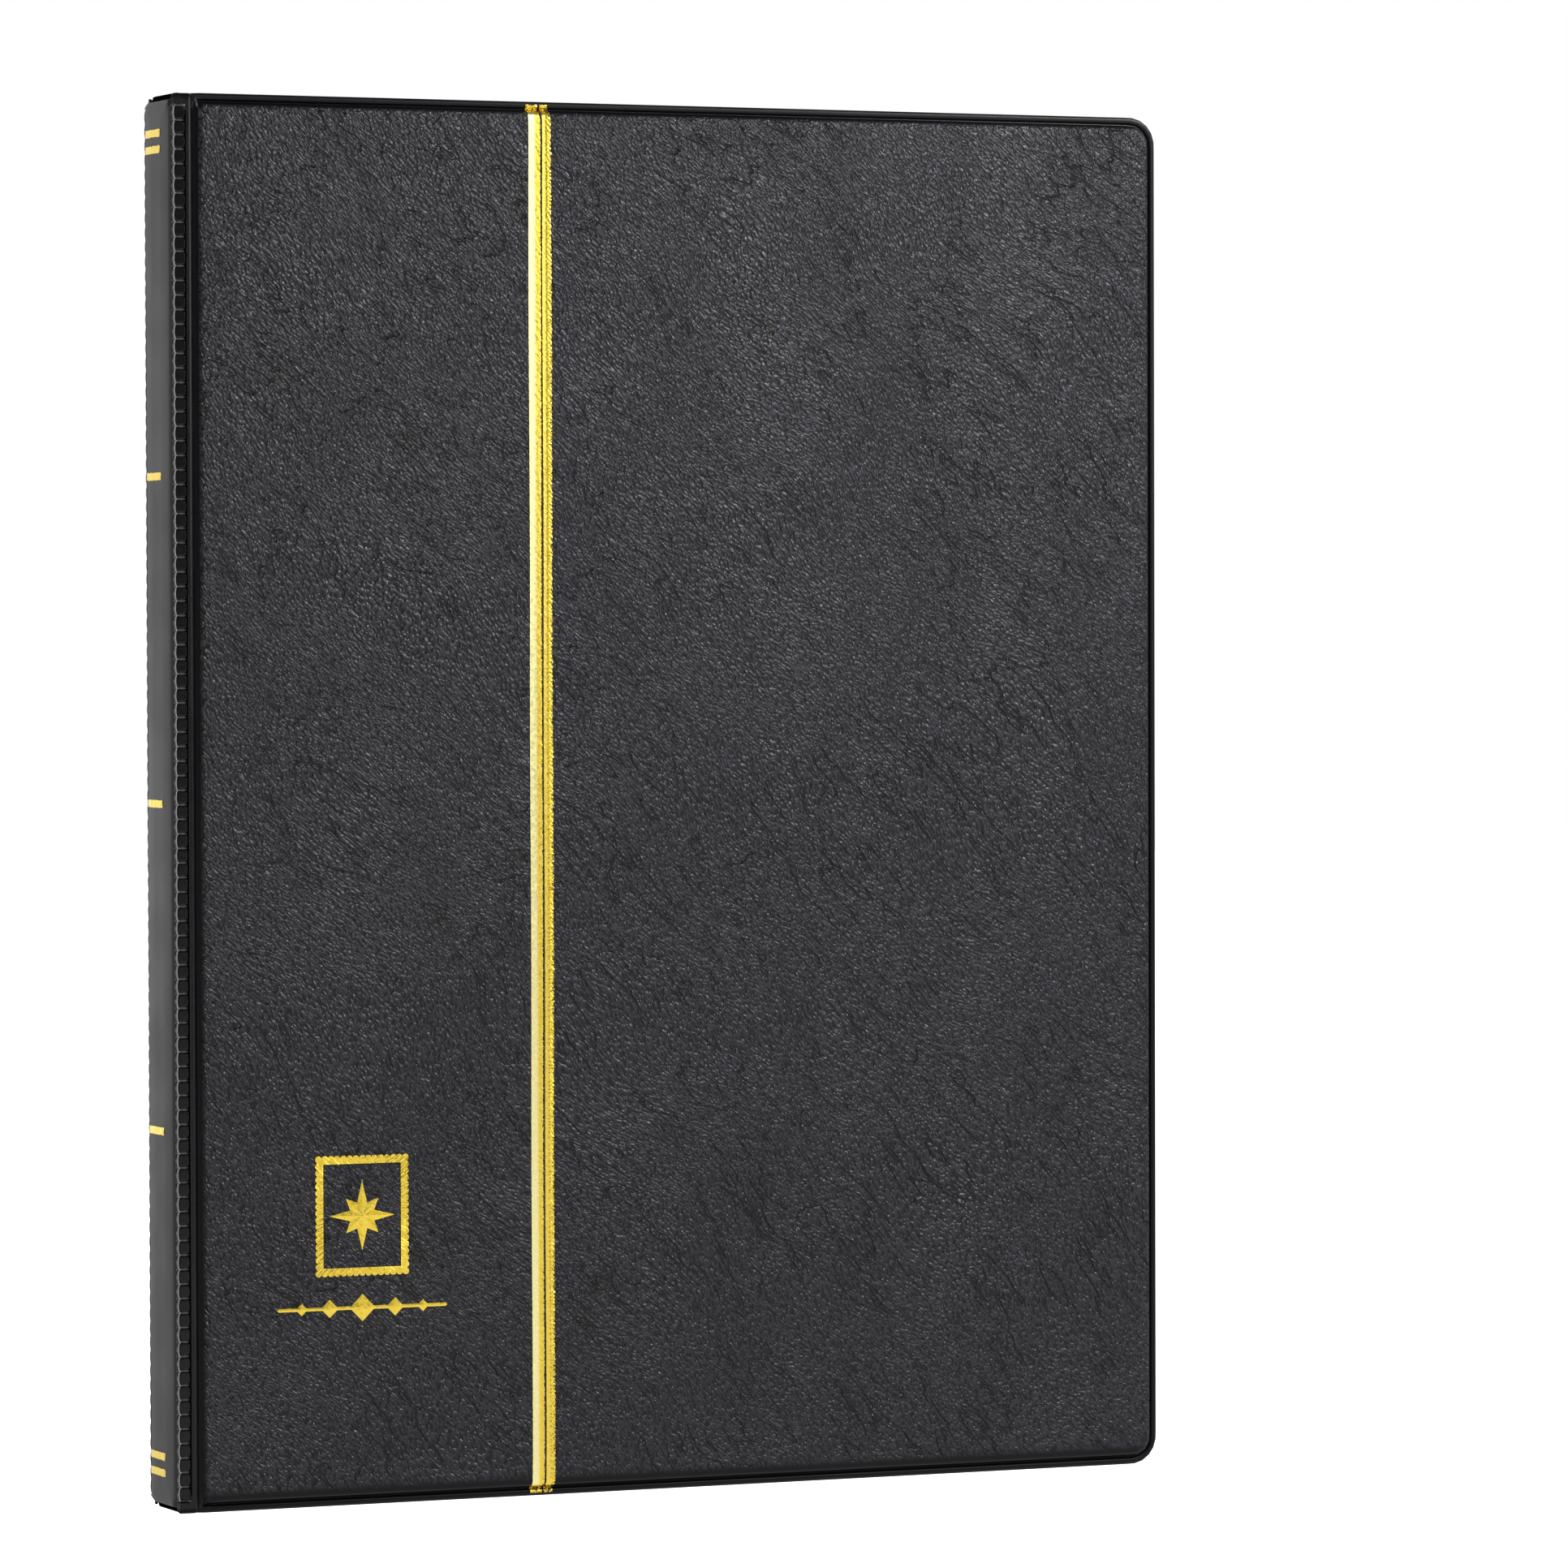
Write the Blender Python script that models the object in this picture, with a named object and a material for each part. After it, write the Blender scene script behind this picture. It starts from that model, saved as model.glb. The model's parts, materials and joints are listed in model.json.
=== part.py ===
"""A stamp album: a stockbook with welded leatherette covers, a hollow spine and eight black pocket leaves.

It stands closed on its lower edge. +Z runs up the spine, the front cover faces -Y, and the spine is at -X.
All sizes are in metres. Each cover and the spine is a tray of outer skin that holds a board, closed by a
lining, so every shape here is a stack of outlines set at depths below an outer face.
"""

import math

import bmesh
import bpy

MM = 0.001

# Driving sizes of the closed album.
HEIGHT = 226 * MM
WIDTH = 175 * MM
THICKNESS = 14.5 * MM
SHEET_GAP = 0.05 * MM
HALF_WIDTH = WIDTH / 2
HALF_THICKNESS = THICKNESS / 2

# Layers of a cover, from its outer face inwards.
SKIN = 0.6 * MM
PAD = 0.8 * MM
COVER_BOARD = 1.25 * MM
LINING = 0.35 * MM
ENDPAPER = 0.25 * MM
TRAY_DEPTH = SKIN + PAD + COVER_BOARD + 3 * SHEET_GAP
LINING_DEPTH = TRAY_DEPTH + SHEET_GAP
ENDPAPER_DEPTH = LINING_DEPTH + LINING + SHEET_GAP

# Outline of a cover.
COVER_HINGE_X = -HALF_WIDTH + 3.8 * MM
CORNER_RADIUS = 4.6 * MM
TRAY_WALL = 2.2 * MM
FIT_GAP = 0.3 * MM

# The spine panel and the two welded strips that hinge it to the covers.
SPINE_HALF_WIDTH = 6 * MM
SPINE_BOARD = 1.1 * MM
SPINE_TRAY_DEPTH = SKIN + SPINE_BOARD + 2 * SHEET_GAP
SPINE_WALL = 1.3 * MM
STRIP_X = -HALF_WIDTH + 0.4 * MM
STRIP_END_X = COVER_HINGE_X - 0.25 * MM
STRIP_THICKNESS = 1.0 * MM
STRIP_SET_BACK = 0.1 * MM
STRIP_SCALLOP = 0.12 * MM
STRIP_TIP_GAP = 0.02 * MM
STRIP_BEAD_HEIGHT = 2.33 * MM
STRIP_BEAD_COUNT = 96

# The leaves turn about one upright line, the binding core, at mid-thickness.
LEAF_COUNT = 8
LEAF_PITCH = 0.88 * MM
LEAF_CARD = 0.4 * MM
LEAF_HEIGHT = 215 * MM
LEAF_FORE_X = 83.2 * MM
LEAF_CORNER = 4 * MM
LEAF_CORE_CLEARANCE = 1.5 * MM
CORE_X = -81.5 * MM
CORE_RADIUS = 0.9 * MM
LEAF_SPINE_X = CORE_X + LEAF_CORE_CLEARANCE
LEAF_FOOT_Z = (HEIGHT - LEAF_HEIGHT) / 2

# Six clear pockets on a page, each a film strip that is open along its top.
POCKET_ROWS = 6
POCKET_PITCH = 34.5 * MM
POCKET_HEIGHT = 33 * MM
POCKET_FILM = 0.12 * MM
POCKET_GAP = 0.03 * MM
POCKET_GUTTER_MARGIN = 3.1 * MM
POCKET_FORE_MARGIN = 6.2 * MM

# Gold foil.
FOIL = 0.08 * MM
FOIL_GAP = 0.02 * MM
SPINE_BAND_HEIGHT = 1.2 * MM
SPINE_BAND_FRONT_Y = -2 * MM
WIDE_STRIPE = (-26.4 * MM, -24.35 * MM)
NARROW_STRIPE = (-24.0 * MM, -22.5 * MM)
EMBLEM_CENTRE = (-55.8 * MM, 46.7 * MM)
EMBLEM_HALF = (7.6 * MM, 9.3 * MM)
EMBLEM_BAND = 1.1 * MM
EMBLEM_TOOTH = 0.4 * MM
EMBLEM_TOOTH_PITCH = 1.1 * MM
STAR_RADIUS = 5.6 * MM
RULE_CENTRE = (-55.8 * MM, 31.9 * MM)
RULE_HALF_LENGTH = 14.6 * MM
RULE_HALF_WIDTH = 0.28 * MM

ARC_STEPS = 6

# Colour, roughness and metallic value of each material.
MATERIALS = {
    "cover_leatherette": ((0.045, 0.045, 0.05), 0.42, 0.0),
    "spine_leatherette": ((0.035, 0.035, 0.038), 0.38, 0.0),
    "hinge_vinyl": ((0.02, 0.02, 0.022), 0.25, 0.0),
    "foam_pad": ((0.75, 0.74, 0.7), 0.9, 0.0),
    "grey_board": ((0.42, 0.4, 0.37), 0.85, 0.0),
    "lining_vinyl": ((0.02, 0.02, 0.022), 0.5, 0.0),
    "gold_foil": ((0.83, 0.62, 0.22), 0.22, 1.0),
    "black_card": ((0.012, 0.012, 0.014), 0.7, 0.0),
    "pocket_film": ((0.5, 0.52, 0.55), 0.1, 0.0),
    "binding_linen": ((0.02, 0.02, 0.02), 0.9, 0.0),
}


def clear_scene():
    for thing in list(bpy.data.objects):
        bpy.data.objects.remove(thing, do_unlink=True)


def material(slot):
    """The named material, made the first time that a piece asks for it."""
    found = bpy.data.materials.get(slot)
    if found:
        return found
    colour, roughness, metallic = MATERIALS[slot]
    made = bpy.data.materials.new(slot)
    made.use_nodes = True
    shader = made.node_tree.nodes["Principled BSDF"]
    shader.inputs["Base Color"].default_value = (*colour, 1.0)
    shader.inputs["Roughness"].default_value = roughness
    shader.inputs["Metallic"].default_value = metallic
    made.diffuse_color = (*colour, 1.0)
    return made


def add_object(name, slot, mesh_builder, pivot):
    """Turns a filled bmesh into a named object whose origin is its joint's axis."""
    bmesh.ops.recalc_face_normals(mesh_builder, faces=mesh_builder.faces)
    for vertex in mesh_builder.verts:
        vertex.co = [vertex.co[i] - pivot[i] for i in range(3)]
    mesh = bpy.data.meshes.new(name)
    mesh_builder.to_mesh(mesh)
    mesh_builder.free()
    mesh.materials.append(material(slot))
    made = bpy.data.objects.new(name, mesh)
    made.location = pivot
    bpy.context.scene.collection.objects.link(made)
    return made


def stack(name, slot, loops, pivot=(0, 0, 0), ring=False):
    """A closed solid through loops of equal length: capped at both ends, or joined end to start as a ring."""
    builder = bmesh.new()
    rows = [[builder.verts.new(point) for point in loop] for loop in loops]
    pairs = list(zip(rows, rows[1:]))
    if ring:
        pairs.append((rows[-1], rows[0]))
    else:
        builder.faces.new(rows[0])
        builder.faces.new(rows[-1])
    for lower, upper in pairs:
        for i in range(len(lower)):
            j = (i + 1) % len(lower)
            builder.faces.new((lower[i], lower[j], upper[j], upper[i]))
    return add_object(name, slot, builder, pivot)


def corner_arc(centre, radius, start_angle):
    """A quarter turn of points, from start_angle on, in radians."""
    step = math.pi / 2 / ARC_STEPS
    angles = [start_angle + i * step for i in range(ARC_STEPS + 1)]
    return [(centre[0] + radius * math.cos(a), centre[1] + radius * math.sin(a)) for a in angles]


def outline(low, high, radii, inset=0.0):
    """A rectangle from low to high, drawn in by inset. radii: of its low-side and its high-side corners."""
    u0, v0 = low[0] + inset, low[1] + inset
    u1, v1 = high[0] - inset, high[1] - inset
    points = []
    corners = (
        (u0, v0, 1, 1, radii[0], math.pi),
        (u1, v0, -1, 1, radii[1], -math.pi / 2),
        (u1, v1, -1, -1, radii[1], 0.0),
        (u0, v1, 1, -1, radii[0], math.pi / 2),
    )
    for u, v, inward_u, inward_v, radius, start in corners:
        kept = max(radius - inset, 0.25 * MM)
        points += corner_arc((u + inward_u * kept, v + inward_v * kept), kept, start)
    return points


def cover_place(side):
    """Places (x, z, depth below the outer face) for the front cover, side -1, or the back cover, side +1."""
    return lambda u, v, depth: (u, side * (HALF_THICKNESS - depth), v)


def spine_place(u, v, depth):
    """Places (y, z, depth below the spine's outer face)."""
    return (-HALF_WIDTH + depth, u, v)


def page_place(face_y, side):
    """Places (x, z, height above a page's face) for a page that looks towards side along Y."""
    return lambda u, v, height: (u, face_y + side * height, v)


def placed(place, points, depth):
    return [place(u, v, depth) for u, v in points]


def tray(name, slot, place, rectangle, profile, pocket, pivot):
    """An outer skin: (inset, depth) steps from its top face to its rim, and the pocket behind it."""
    low, high, radii = rectangle
    wall, floor = pocket
    rim_depth = profile[-1][1]
    steps = list(profile) + [(wall, rim_depth), (wall, floor)]
    loops = [placed(place, outline(low, high, radii, inset), depth) for inset, depth in steps]
    return stack(name, slot, loops, pivot)


def sheet(name, slot, place, rectangle, depths, inset=0.0, pivot=(0, 0, 0)):
    """A flat plate between two depths."""
    low, high, radii = rectangle
    points = outline(low, high, radii, inset)
    return stack(name, slot, [placed(place, points, depth) for depth in depths], pivot)


def offset_path(path, distance):
    """The open 2-D path moved sideways, to the left of its direction, by distance."""
    moved = []
    for i, (a, b) in enumerate(path):
        before = path[max(i - 1, 0)]
        after = path[min(i + 1, len(path) - 1)]
        length = math.hypot(after[0] - before[0], after[1] - before[1])
        moved.append((a - distance * (after[1] - before[1]) / length,
                      b + distance * (after[0] - before[0]) / length))
    return moved


def ribbon(name, slot, place, path, low, high, pivot):
    """A thin foil that follows path, (position, depth) points on a surface, and spans low to high."""
    inner = offset_path(path, -FOIL_GAP)
    outer = offset_path(path, -FOIL_GAP - FOIL)
    section = inner + outer[::-1]
    loops = [[place(across, along, depth) for along, depth in section] for across in (low, high)]
    return stack(name, slot, loops, pivot)


# (inset, depth) of a cover's outer skin: the padded face, its rounded edge, the weld groove and the rim.
COVER_PROFILE = (
    (5.0 * MM, 0.0),
    (3.0 * MM, 0.06 * MM),
    (2.0 * MM, 0.25 * MM),
    (1.6 * MM, 0.7 * MM),
    (1.4 * MM, 2.0 * MM),
    (1.0 * MM, 2.05 * MM),
    (0.25 * MM, 1.85 * MM),
    (0.0, 2.05 * MM),
    (0.0, TRAY_DEPTH),
)

# The same for the spine's skin, which is flatter and has a narrow rim.
SPINE_PROFILE = (
    (2.0 * MM, 0.0),
    (1.0 * MM, 0.1 * MM),
    (0.7 * MM, 0.4 * MM),
    (0.6 * MM, 1.1 * MM),
    (0.15 * MM, 1.1 * MM),
    (0.0, 1.25 * MM),
    (0.0, SPINE_TRAY_DEPTH),
)

COVER_RECTANGLE = ((COVER_HINGE_X, 0.0), (HALF_WIDTH, HEIGHT), (0.0, CORNER_RADIUS))
SPINE_RECTANGLE = ((-SPINE_HALF_WIDTH, 0.0), (SPINE_HALF_WIDTH, HEIGHT), (1.5 * MM, 1.5 * MM))
LEAF_RECTANGLE = ((LEAF_SPINE_X, LEAF_FOOT_Z), (LEAF_FORE_X, LEAF_FOOT_Z + LEAF_HEIGHT), (0.0, LEAF_CORNER))

# Joint axes, all upright: spine to back cover, front strip to spine, front cover to strip, and leaves.
BACK_CORNER = (STRIP_X, HALF_THICKNESS - STRIP_THICKNESS - SHEET_GAP, 0.0)
FRONT_CORNER = (STRIP_X, -HALF_THICKNESS + STRIP_THICKNESS + SHEET_GAP, 0.0)
COVER_HINGE = ((STRIP_END_X + COVER_HINGE_X) / 2, -HALF_THICKNESS, 0.0)
CORE_AXIS = (CORE_X, 0.0, 0.0)


def build_cover(prefix, side, pivot):
    """Skin, foam pad, board, lining and endpaper of one cover."""
    place = cover_place(side)
    pocket = (TRAY_WALL, SKIN)
    inside = TRAY_WALL + FIT_GAP
    pad_top = SKIN + SHEET_GAP
    board_top = pad_top + PAD + SHEET_GAP
    tray(f"{prefix}_skin", "cover_leatherette", place, COVER_RECTANGLE, COVER_PROFILE, pocket, pivot)
    sheet(f"{prefix}_foam_pad", "foam_pad", place, COVER_RECTANGLE, (pad_top, pad_top + PAD), inside, pivot)
    sheet(f"{prefix}_board", "grey_board", place, COVER_RECTANGLE,
          (board_top, board_top + COVER_BOARD), inside, pivot)
    sheet(f"{prefix}_lining", "lining_vinyl", place, COVER_RECTANGLE,
          (LINING_DEPTH, LINING_DEPTH + LINING), 0.1 * MM, pivot)
    sheet(f"{prefix}_endpaper", "black_card", place, LEAF_RECTANGLE,
          (ENDPAPER_DEPTH, ENDPAPER_DEPTH + ENDPAPER), 0.0, pivot)


def strip_outline():
    """The beaded strip seen from outside: a straight cover side and a scalloped spine side."""
    tip_x, notch_x = STRIP_X + STRIP_TIP_GAP, STRIP_X + STRIP_SCALLOP
    foot = (HEIGHT - STRIP_BEAD_COUNT * STRIP_BEAD_HEIGHT) / 2
    edge = [(tip_x, 0.0)]
    for i in range(STRIP_BEAD_COUNT):
        z = foot + i * STRIP_BEAD_HEIGHT
        edge.append((notch_x, z))
        edge.append((tip_x, z + STRIP_BEAD_HEIGHT / 2))
    edge.append((notch_x, foot + STRIP_BEAD_COUNT * STRIP_BEAD_HEIGHT))
    edge.append((tip_x, HEIGHT))
    return edge[::-1] + [(STRIP_END_X, 0.0), (STRIP_END_X, HEIGHT)]


def build_hinge_strip(prefix, side, pivot):
    """The welded strip beside a cover, with its outer face just below the cover's."""
    place = cover_place(side)
    points = strip_outline()
    loops = [placed(place, points, depth) for depth in (STRIP_SET_BACK, STRIP_THICKNESS)]
    stack(f"{prefix}_hinge_strip", "hinge_vinyl", loops, pivot)


def build_spine():
    """Skin, board and lining of the hollow spine, and the seven gold bands on it."""
    inside = SPINE_WALL + FIT_GAP
    board_top = SKIN + SHEET_GAP
    lining_top = SPINE_TRAY_DEPTH + SHEET_GAP
    tray("spine_skin", "spine_leatherette", spine_place, SPINE_RECTANGLE, SPINE_PROFILE,
         (SPINE_WALL, SKIN), BACK_CORNER)
    sheet("spine_board", "grey_board", spine_place, SPINE_RECTANGLE,
          (board_top, board_top + SPINE_BOARD), inside, BACK_CORNER)
    sheet("spine_lining", "lining_vinyl", spine_place, SPINE_RECTANGLE,
          (lining_top, lining_top + LINING), 0.1 * MM, BACK_CORNER)
    build_spine_bands()


def build_spine_bands():
    """Two bands near each end and three between, each from the back edge to a little past the middle."""
    end_pair = (104.2 * MM, 106.8 * MM)
    single = 52.2 * MM
    heights = (-end_pair[1], -end_pair[0], -single, 0.0, single, end_pair[0], end_pair[1])
    path = [(SPINE_BAND_FRONT_Y, 0.0)]
    path += [(SPINE_HALF_WIDTH - inset, depth) for inset, depth in SPINE_PROFILE[:3]]

    def place(height, across_spine, depth):
        return spine_place(across_spine, height, depth)

    for number, centre in enumerate(heights, start=1):
        middle = HEIGHT / 2 + centre
        ribbon(f"spine_band_{number}", "gold_foil", place, path,
               middle - SPINE_BAND_HEIGHT / 2, middle + SPINE_BAND_HEIGHT / 2, BACK_CORNER)


def build_front_foil():
    """Two full-height stripes, a perforated frame with a star, and a plain lozenge rule under it."""
    rise = [(inset, depth) for inset, depth in COVER_PROFILE[3::-1]]
    path = rise + [(HEIGHT - inset, depth) for inset, depth in COVER_PROFILE[:4]]
    place = cover_place(-1)
    ribbon("front_stripe_wide", "gold_foil", place, path, *WIDE_STRIPE, COVER_HINGE)
    ribbon("front_stripe_narrow", "gold_foil", place, path, *NARROW_STRIPE, COVER_HINGE)
    build_emblem_frame(place)
    foil_plate("emblem_star", place, star_points())
    foil_plate("emblem_rule", place, lozenge_rule())


def foil_plate(name, place, points):
    depths = (-FOIL_GAP, -FOIL_GAP - FOIL)
    stack(name, "gold_foil", [placed(place, points, depth) for depth in depths], COVER_HINGE)


def build_emblem_frame(place):
    """A tall rectangular band whose outer edge is toothed like a stamp's perforations."""
    cu, cv = EMBLEM_CENTRE
    outer = toothed_rectangle(EMBLEM_TOOTH)
    shrink = [(half - EMBLEM_BAND) / half for half in EMBLEM_HALF]
    inner = [(u * shrink[0], v * shrink[1]) for u, v in toothed_rectangle(0.0)]
    low, high = -FOIL_GAP, -FOIL_GAP - FOIL
    loops = []
    for points, depth in ((outer, low), (outer, high), (inner, high), (inner, low)):
        loops.append([place(cu + u, cv + v, depth) for u, v in points])
    stack("emblem_frame", "gold_foil", loops, COVER_HINGE, ring=True)


def toothed_rectangle(tooth):
    """A rectangle about the origin, whose sides step out by tooth in flat-topped teeth."""
    half_u, half_v = EMBLEM_HALF
    corners = [(-half_u, -half_v), (half_u, -half_v), (half_u, half_v), (-half_u, half_v)]
    points = []
    for (u0, v0), (u1, v1) in zip(corners, corners[1:] + corners[:1]):
        length = abs(u1 - u0) + abs(v1 - v0)
        out_u, out_v = (v1 - v0) / length, (u0 - u1) / length
        steps = 2 * round(length / EMBLEM_TOOTH_PITCH) + 1
        for step in range(steps):
            out = 0.0 if step % 2 else tooth
            for share in ((step + 0.15) / steps, (step + 0.85) / steps):
                points.append((u0 + share * (u1 - u0) + out * out_u, v0 + share * (v1 - v0) + out * out_v))
    return points


def star_points():
    """A star of four long tips and four short ones."""
    centre_u, centre_v = EMBLEM_CENTRE
    tips = 8
    points = []
    for i in range(2 * tips):
        share = 0.4 if i % 2 else (1.0 if i % 4 == 0 else 0.7)
        radius = share * STAR_RADIUS
        angle = math.pi * i / tips
        points.append((centre_u + radius * math.sin(angle), centre_v + radius * math.cos(angle)))
    return points


def lozenge_rule():
    """A thin horizontal bar with pointed ends and five lozenges, largest at its middle."""
    lozenges = ((0.0, 2.2 * MM), (5.6 * MM, 1.5 * MM), (10.4 * MM, 1.0 * MM))
    quarter = [(0.0, lozenges[0][1]), (lozenges[0][1] - RULE_HALF_WIDTH, RULE_HALF_WIDTH)]
    for u, reach in lozenges[1:]:
        foot = reach - RULE_HALF_WIDTH
        quarter += [(u - foot, RULE_HALF_WIDTH), (u, reach), (u + foot, RULE_HALF_WIDTH)]
    quarter += [(RULE_HALF_LENGTH - RULE_HALF_WIDTH, RULE_HALF_WIDTH), (RULE_HALF_LENGTH, 0.0)]
    upper = [(-u, v) for u, v in quarter[:0:-1]] + quarter
    lower = [(u, -v) for u, v in upper[-2:0:-1]]
    return [(RULE_CENTRE[0] + u, RULE_CENTRE[1] + v) for u, v in upper + lower]


def leaf_y(number):
    """The mid-plane of a leaf, counted from 1 behind the front cover."""
    return (number - (LEAF_COUNT + 1) / 2) * LEAF_PITCH


def build_leaf(number):
    place = page_place(leaf_y(number), 1)
    sheet(f"leaf_{number}", "black_card", place, LEAF_RECTANGLE,
          (-LEAF_CARD / 2, LEAF_CARD / 2), 0.0, CORE_AXIS)


def build_pockets(prefix, number, side):
    """The six film strips of one page: the face of a leaf that looks towards side along Y."""
    place = page_place(leaf_y(number) + side * LEAF_CARD / 2, side)
    top_z = LEAF_FOOT_Z + (LEAF_HEIGHT + POCKET_ROWS * POCKET_PITCH) / 2
    for row in range(POCKET_ROWS):
        foot = top_z - (row + 1) * POCKET_PITCH + (POCKET_PITCH - POCKET_HEIGHT) / 2
        rectangle = ((LEAF_SPINE_X + POCKET_GUTTER_MARGIN, foot),
                     (LEAF_FORE_X - POCKET_FORE_MARGIN, foot + POCKET_HEIGHT), (0.0, 0.0))
        sheet(f"{prefix}_pocket_{row + 1}", "pocket_film", place, rectangle,
              (POCKET_GAP, POCKET_GAP + POCKET_FILM), 0.0, CORE_AXIS)


def build_page_block():
    """The binding core, the leaves, and the pockets of the first page and of the middle pair of pages."""
    sides = 12
    circle = [(CORE_X + CORE_RADIUS * math.cos(2 * math.pi * i / sides),
               CORE_RADIUS * math.sin(2 * math.pi * i / sides)) for i in range(sides)]
    ends = (LEAF_FOOT_Z, LEAF_FOOT_Z + LEAF_HEIGHT)
    stack("binding_core", "binding_linen", [[(x, y, z) for x, y in circle] for z in ends])
    for number in range(1, LEAF_COUNT + 1):
        build_leaf(number)
    middle = LEAF_COUNT // 2
    build_pockets("first_page", 1, -1)
    build_pockets("left_page", middle, 1)
    build_pockets("right_page", middle + 1, -1)


def main():
    clear_scene()
    build_cover("front", -1, COVER_HINGE)
    build_front_foil()
    build_hinge_strip("front", -1, FRONT_CORNER)
    build_spine()
    build_hinge_strip("back", 1, (0, 0, 0))
    build_cover("back", 1, (0, 0, 0))
    build_page_block()


main()
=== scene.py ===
"""The looks of the stamp album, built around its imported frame."""

import json
import math
from functools import partial

import bmesh
import bpy
import numpy as np
from mathutils import Matrix, Vector


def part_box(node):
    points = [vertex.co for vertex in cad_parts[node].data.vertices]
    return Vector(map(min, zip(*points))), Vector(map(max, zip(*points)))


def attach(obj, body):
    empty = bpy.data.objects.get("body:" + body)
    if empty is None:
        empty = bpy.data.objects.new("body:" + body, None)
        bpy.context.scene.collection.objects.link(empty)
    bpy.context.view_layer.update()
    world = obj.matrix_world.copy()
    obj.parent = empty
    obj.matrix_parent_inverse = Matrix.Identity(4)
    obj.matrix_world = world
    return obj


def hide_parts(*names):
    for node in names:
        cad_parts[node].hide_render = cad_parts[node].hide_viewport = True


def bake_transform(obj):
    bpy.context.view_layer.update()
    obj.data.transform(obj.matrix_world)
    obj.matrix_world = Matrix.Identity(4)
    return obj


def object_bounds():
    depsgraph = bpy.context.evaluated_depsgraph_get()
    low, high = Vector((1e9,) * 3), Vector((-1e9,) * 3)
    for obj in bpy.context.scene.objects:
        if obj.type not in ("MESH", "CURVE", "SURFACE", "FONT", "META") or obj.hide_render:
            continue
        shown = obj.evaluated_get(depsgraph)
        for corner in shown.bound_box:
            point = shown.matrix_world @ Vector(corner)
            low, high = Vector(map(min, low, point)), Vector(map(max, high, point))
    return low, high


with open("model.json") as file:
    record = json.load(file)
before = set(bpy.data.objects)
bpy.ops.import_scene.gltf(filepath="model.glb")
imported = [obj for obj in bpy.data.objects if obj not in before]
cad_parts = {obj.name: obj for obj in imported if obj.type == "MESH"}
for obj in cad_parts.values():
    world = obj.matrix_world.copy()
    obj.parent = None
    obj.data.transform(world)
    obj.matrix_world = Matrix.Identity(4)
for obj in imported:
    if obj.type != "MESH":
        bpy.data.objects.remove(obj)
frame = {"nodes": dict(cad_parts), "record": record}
CAD_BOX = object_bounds()

MM = 0.001
LOW, HIGH = Vector(CAD_BOX[0]), Vector(CAD_BOX[1])
ROOT = "back_cover"
FRONT, BACK = -1, 1

# Planes and outlines of the frame, in metres. The covers' outer planes lie at y = -OUTER_Y and OUTER_Y.
COVER_LOW, COVER_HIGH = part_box("front_skin")
OUTER_Y = -COVER_LOW[1]
RIM_DEPTH = COVER_HIGH[1] - COVER_LOW[1]
HINGE_X, FORE_X = COVER_LOW[0], COVER_HIGH[0]
HEIGHT = COVER_HIGH[2] - COVER_LOW[2]
CORNER_RADIUS = 4.6 * MM
STRIP_LOW, STRIP_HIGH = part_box("front_hinge_strip")
SPINE_LOW, SPINE_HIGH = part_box("spine_skin")
CORE_LOW, CORE_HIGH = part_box("binding_core")
CORE_X = (CORE_LOW[0] + CORE_HIGH[0]) / 2
CORE_RADIUS = (CORE_HIGH[0] - CORE_LOW[0]) / 2
LEAF_LOW, LEAF_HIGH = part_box("leaf_1")
LEAF_COUNT = 8
BEAD_COUNT = 96
BEAD_PITCH = 2.31 * MM
# The foil's thickness, and how far off the skin its underside lies.
FOIL = 0.05 * MM
FOIL_LIFT = 0.015 * MM
# Points along each half of a rounded corner, before they are spaced evenly.
ARC_STEPS = 24


# ---------------------------------------------------------------- mesh helpers


def smooth_step(low, high, value):
    """0 at low, 1 at high and beyond, with a smooth change between. high may be the smaller number."""
    t = np.clip((value - low) / (high - low), 0.0, 1.0)
    return t * t * (3 - 2 * t)


def add_to_scene(made):
    bpy.context.scene.collection.objects.link(made)


def add_mesh(name, points, faces, material, smooth_angle=40.0):
    """A mesh object with its faces turned outwards, shaded smooth up to an angle."""
    mesh = bpy.data.meshes.new(name)
    mesh.from_pydata([tuple(p) for p in points], [], [tuple(int(i) for i in f) for f in faces])
    builder = bmesh.new()
    builder.from_mesh(mesh)
    bmesh.ops.remove_doubles(builder, verts=builder.verts, dist=1e-7)
    bmesh.ops.recalc_face_normals(builder, faces=builder.faces)
    builder.to_mesh(mesh)
    builder.free()
    mesh.shade_smooth()
    mesh.set_sharp_from_angle(angle=math.radians(smooth_angle))
    mesh.materials.append(material)
    made = bpy.data.objects.new(name, mesh)
    add_to_scene(made)
    return made


def paint(piece, name, shade):
    """Stores a value per vertex, for a material to read. shade turns an array of points into values."""
    mesh = piece.data
    places = np.empty(len(mesh.vertices) * 3)
    mesh.vertices.foreach_get("co", places)
    layer = mesh.attributes.new(name, "FLOAT", "POINT")
    layer.data.foreach_set("value", np.clip(shade(places.reshape(-1, 3)), 0.0, 1.0))


def grid_faces(rows, columns, first=0, wrap=False):
    """Quads of a grid of points stored row by row. wrap joins the last column to the first."""
    across = columns if wrap else columns - 1
    r, c = np.meshgrid(np.arange(rows - 1), np.arange(across), indexing="ij")
    after = (c + 1) % columns
    corners = (r * columns + c, r * columns + after, (r + 1) * columns + after, (r + 1) * columns + c)
    return first + np.stack(corners, axis=-1).reshape(-1, 4)


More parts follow.
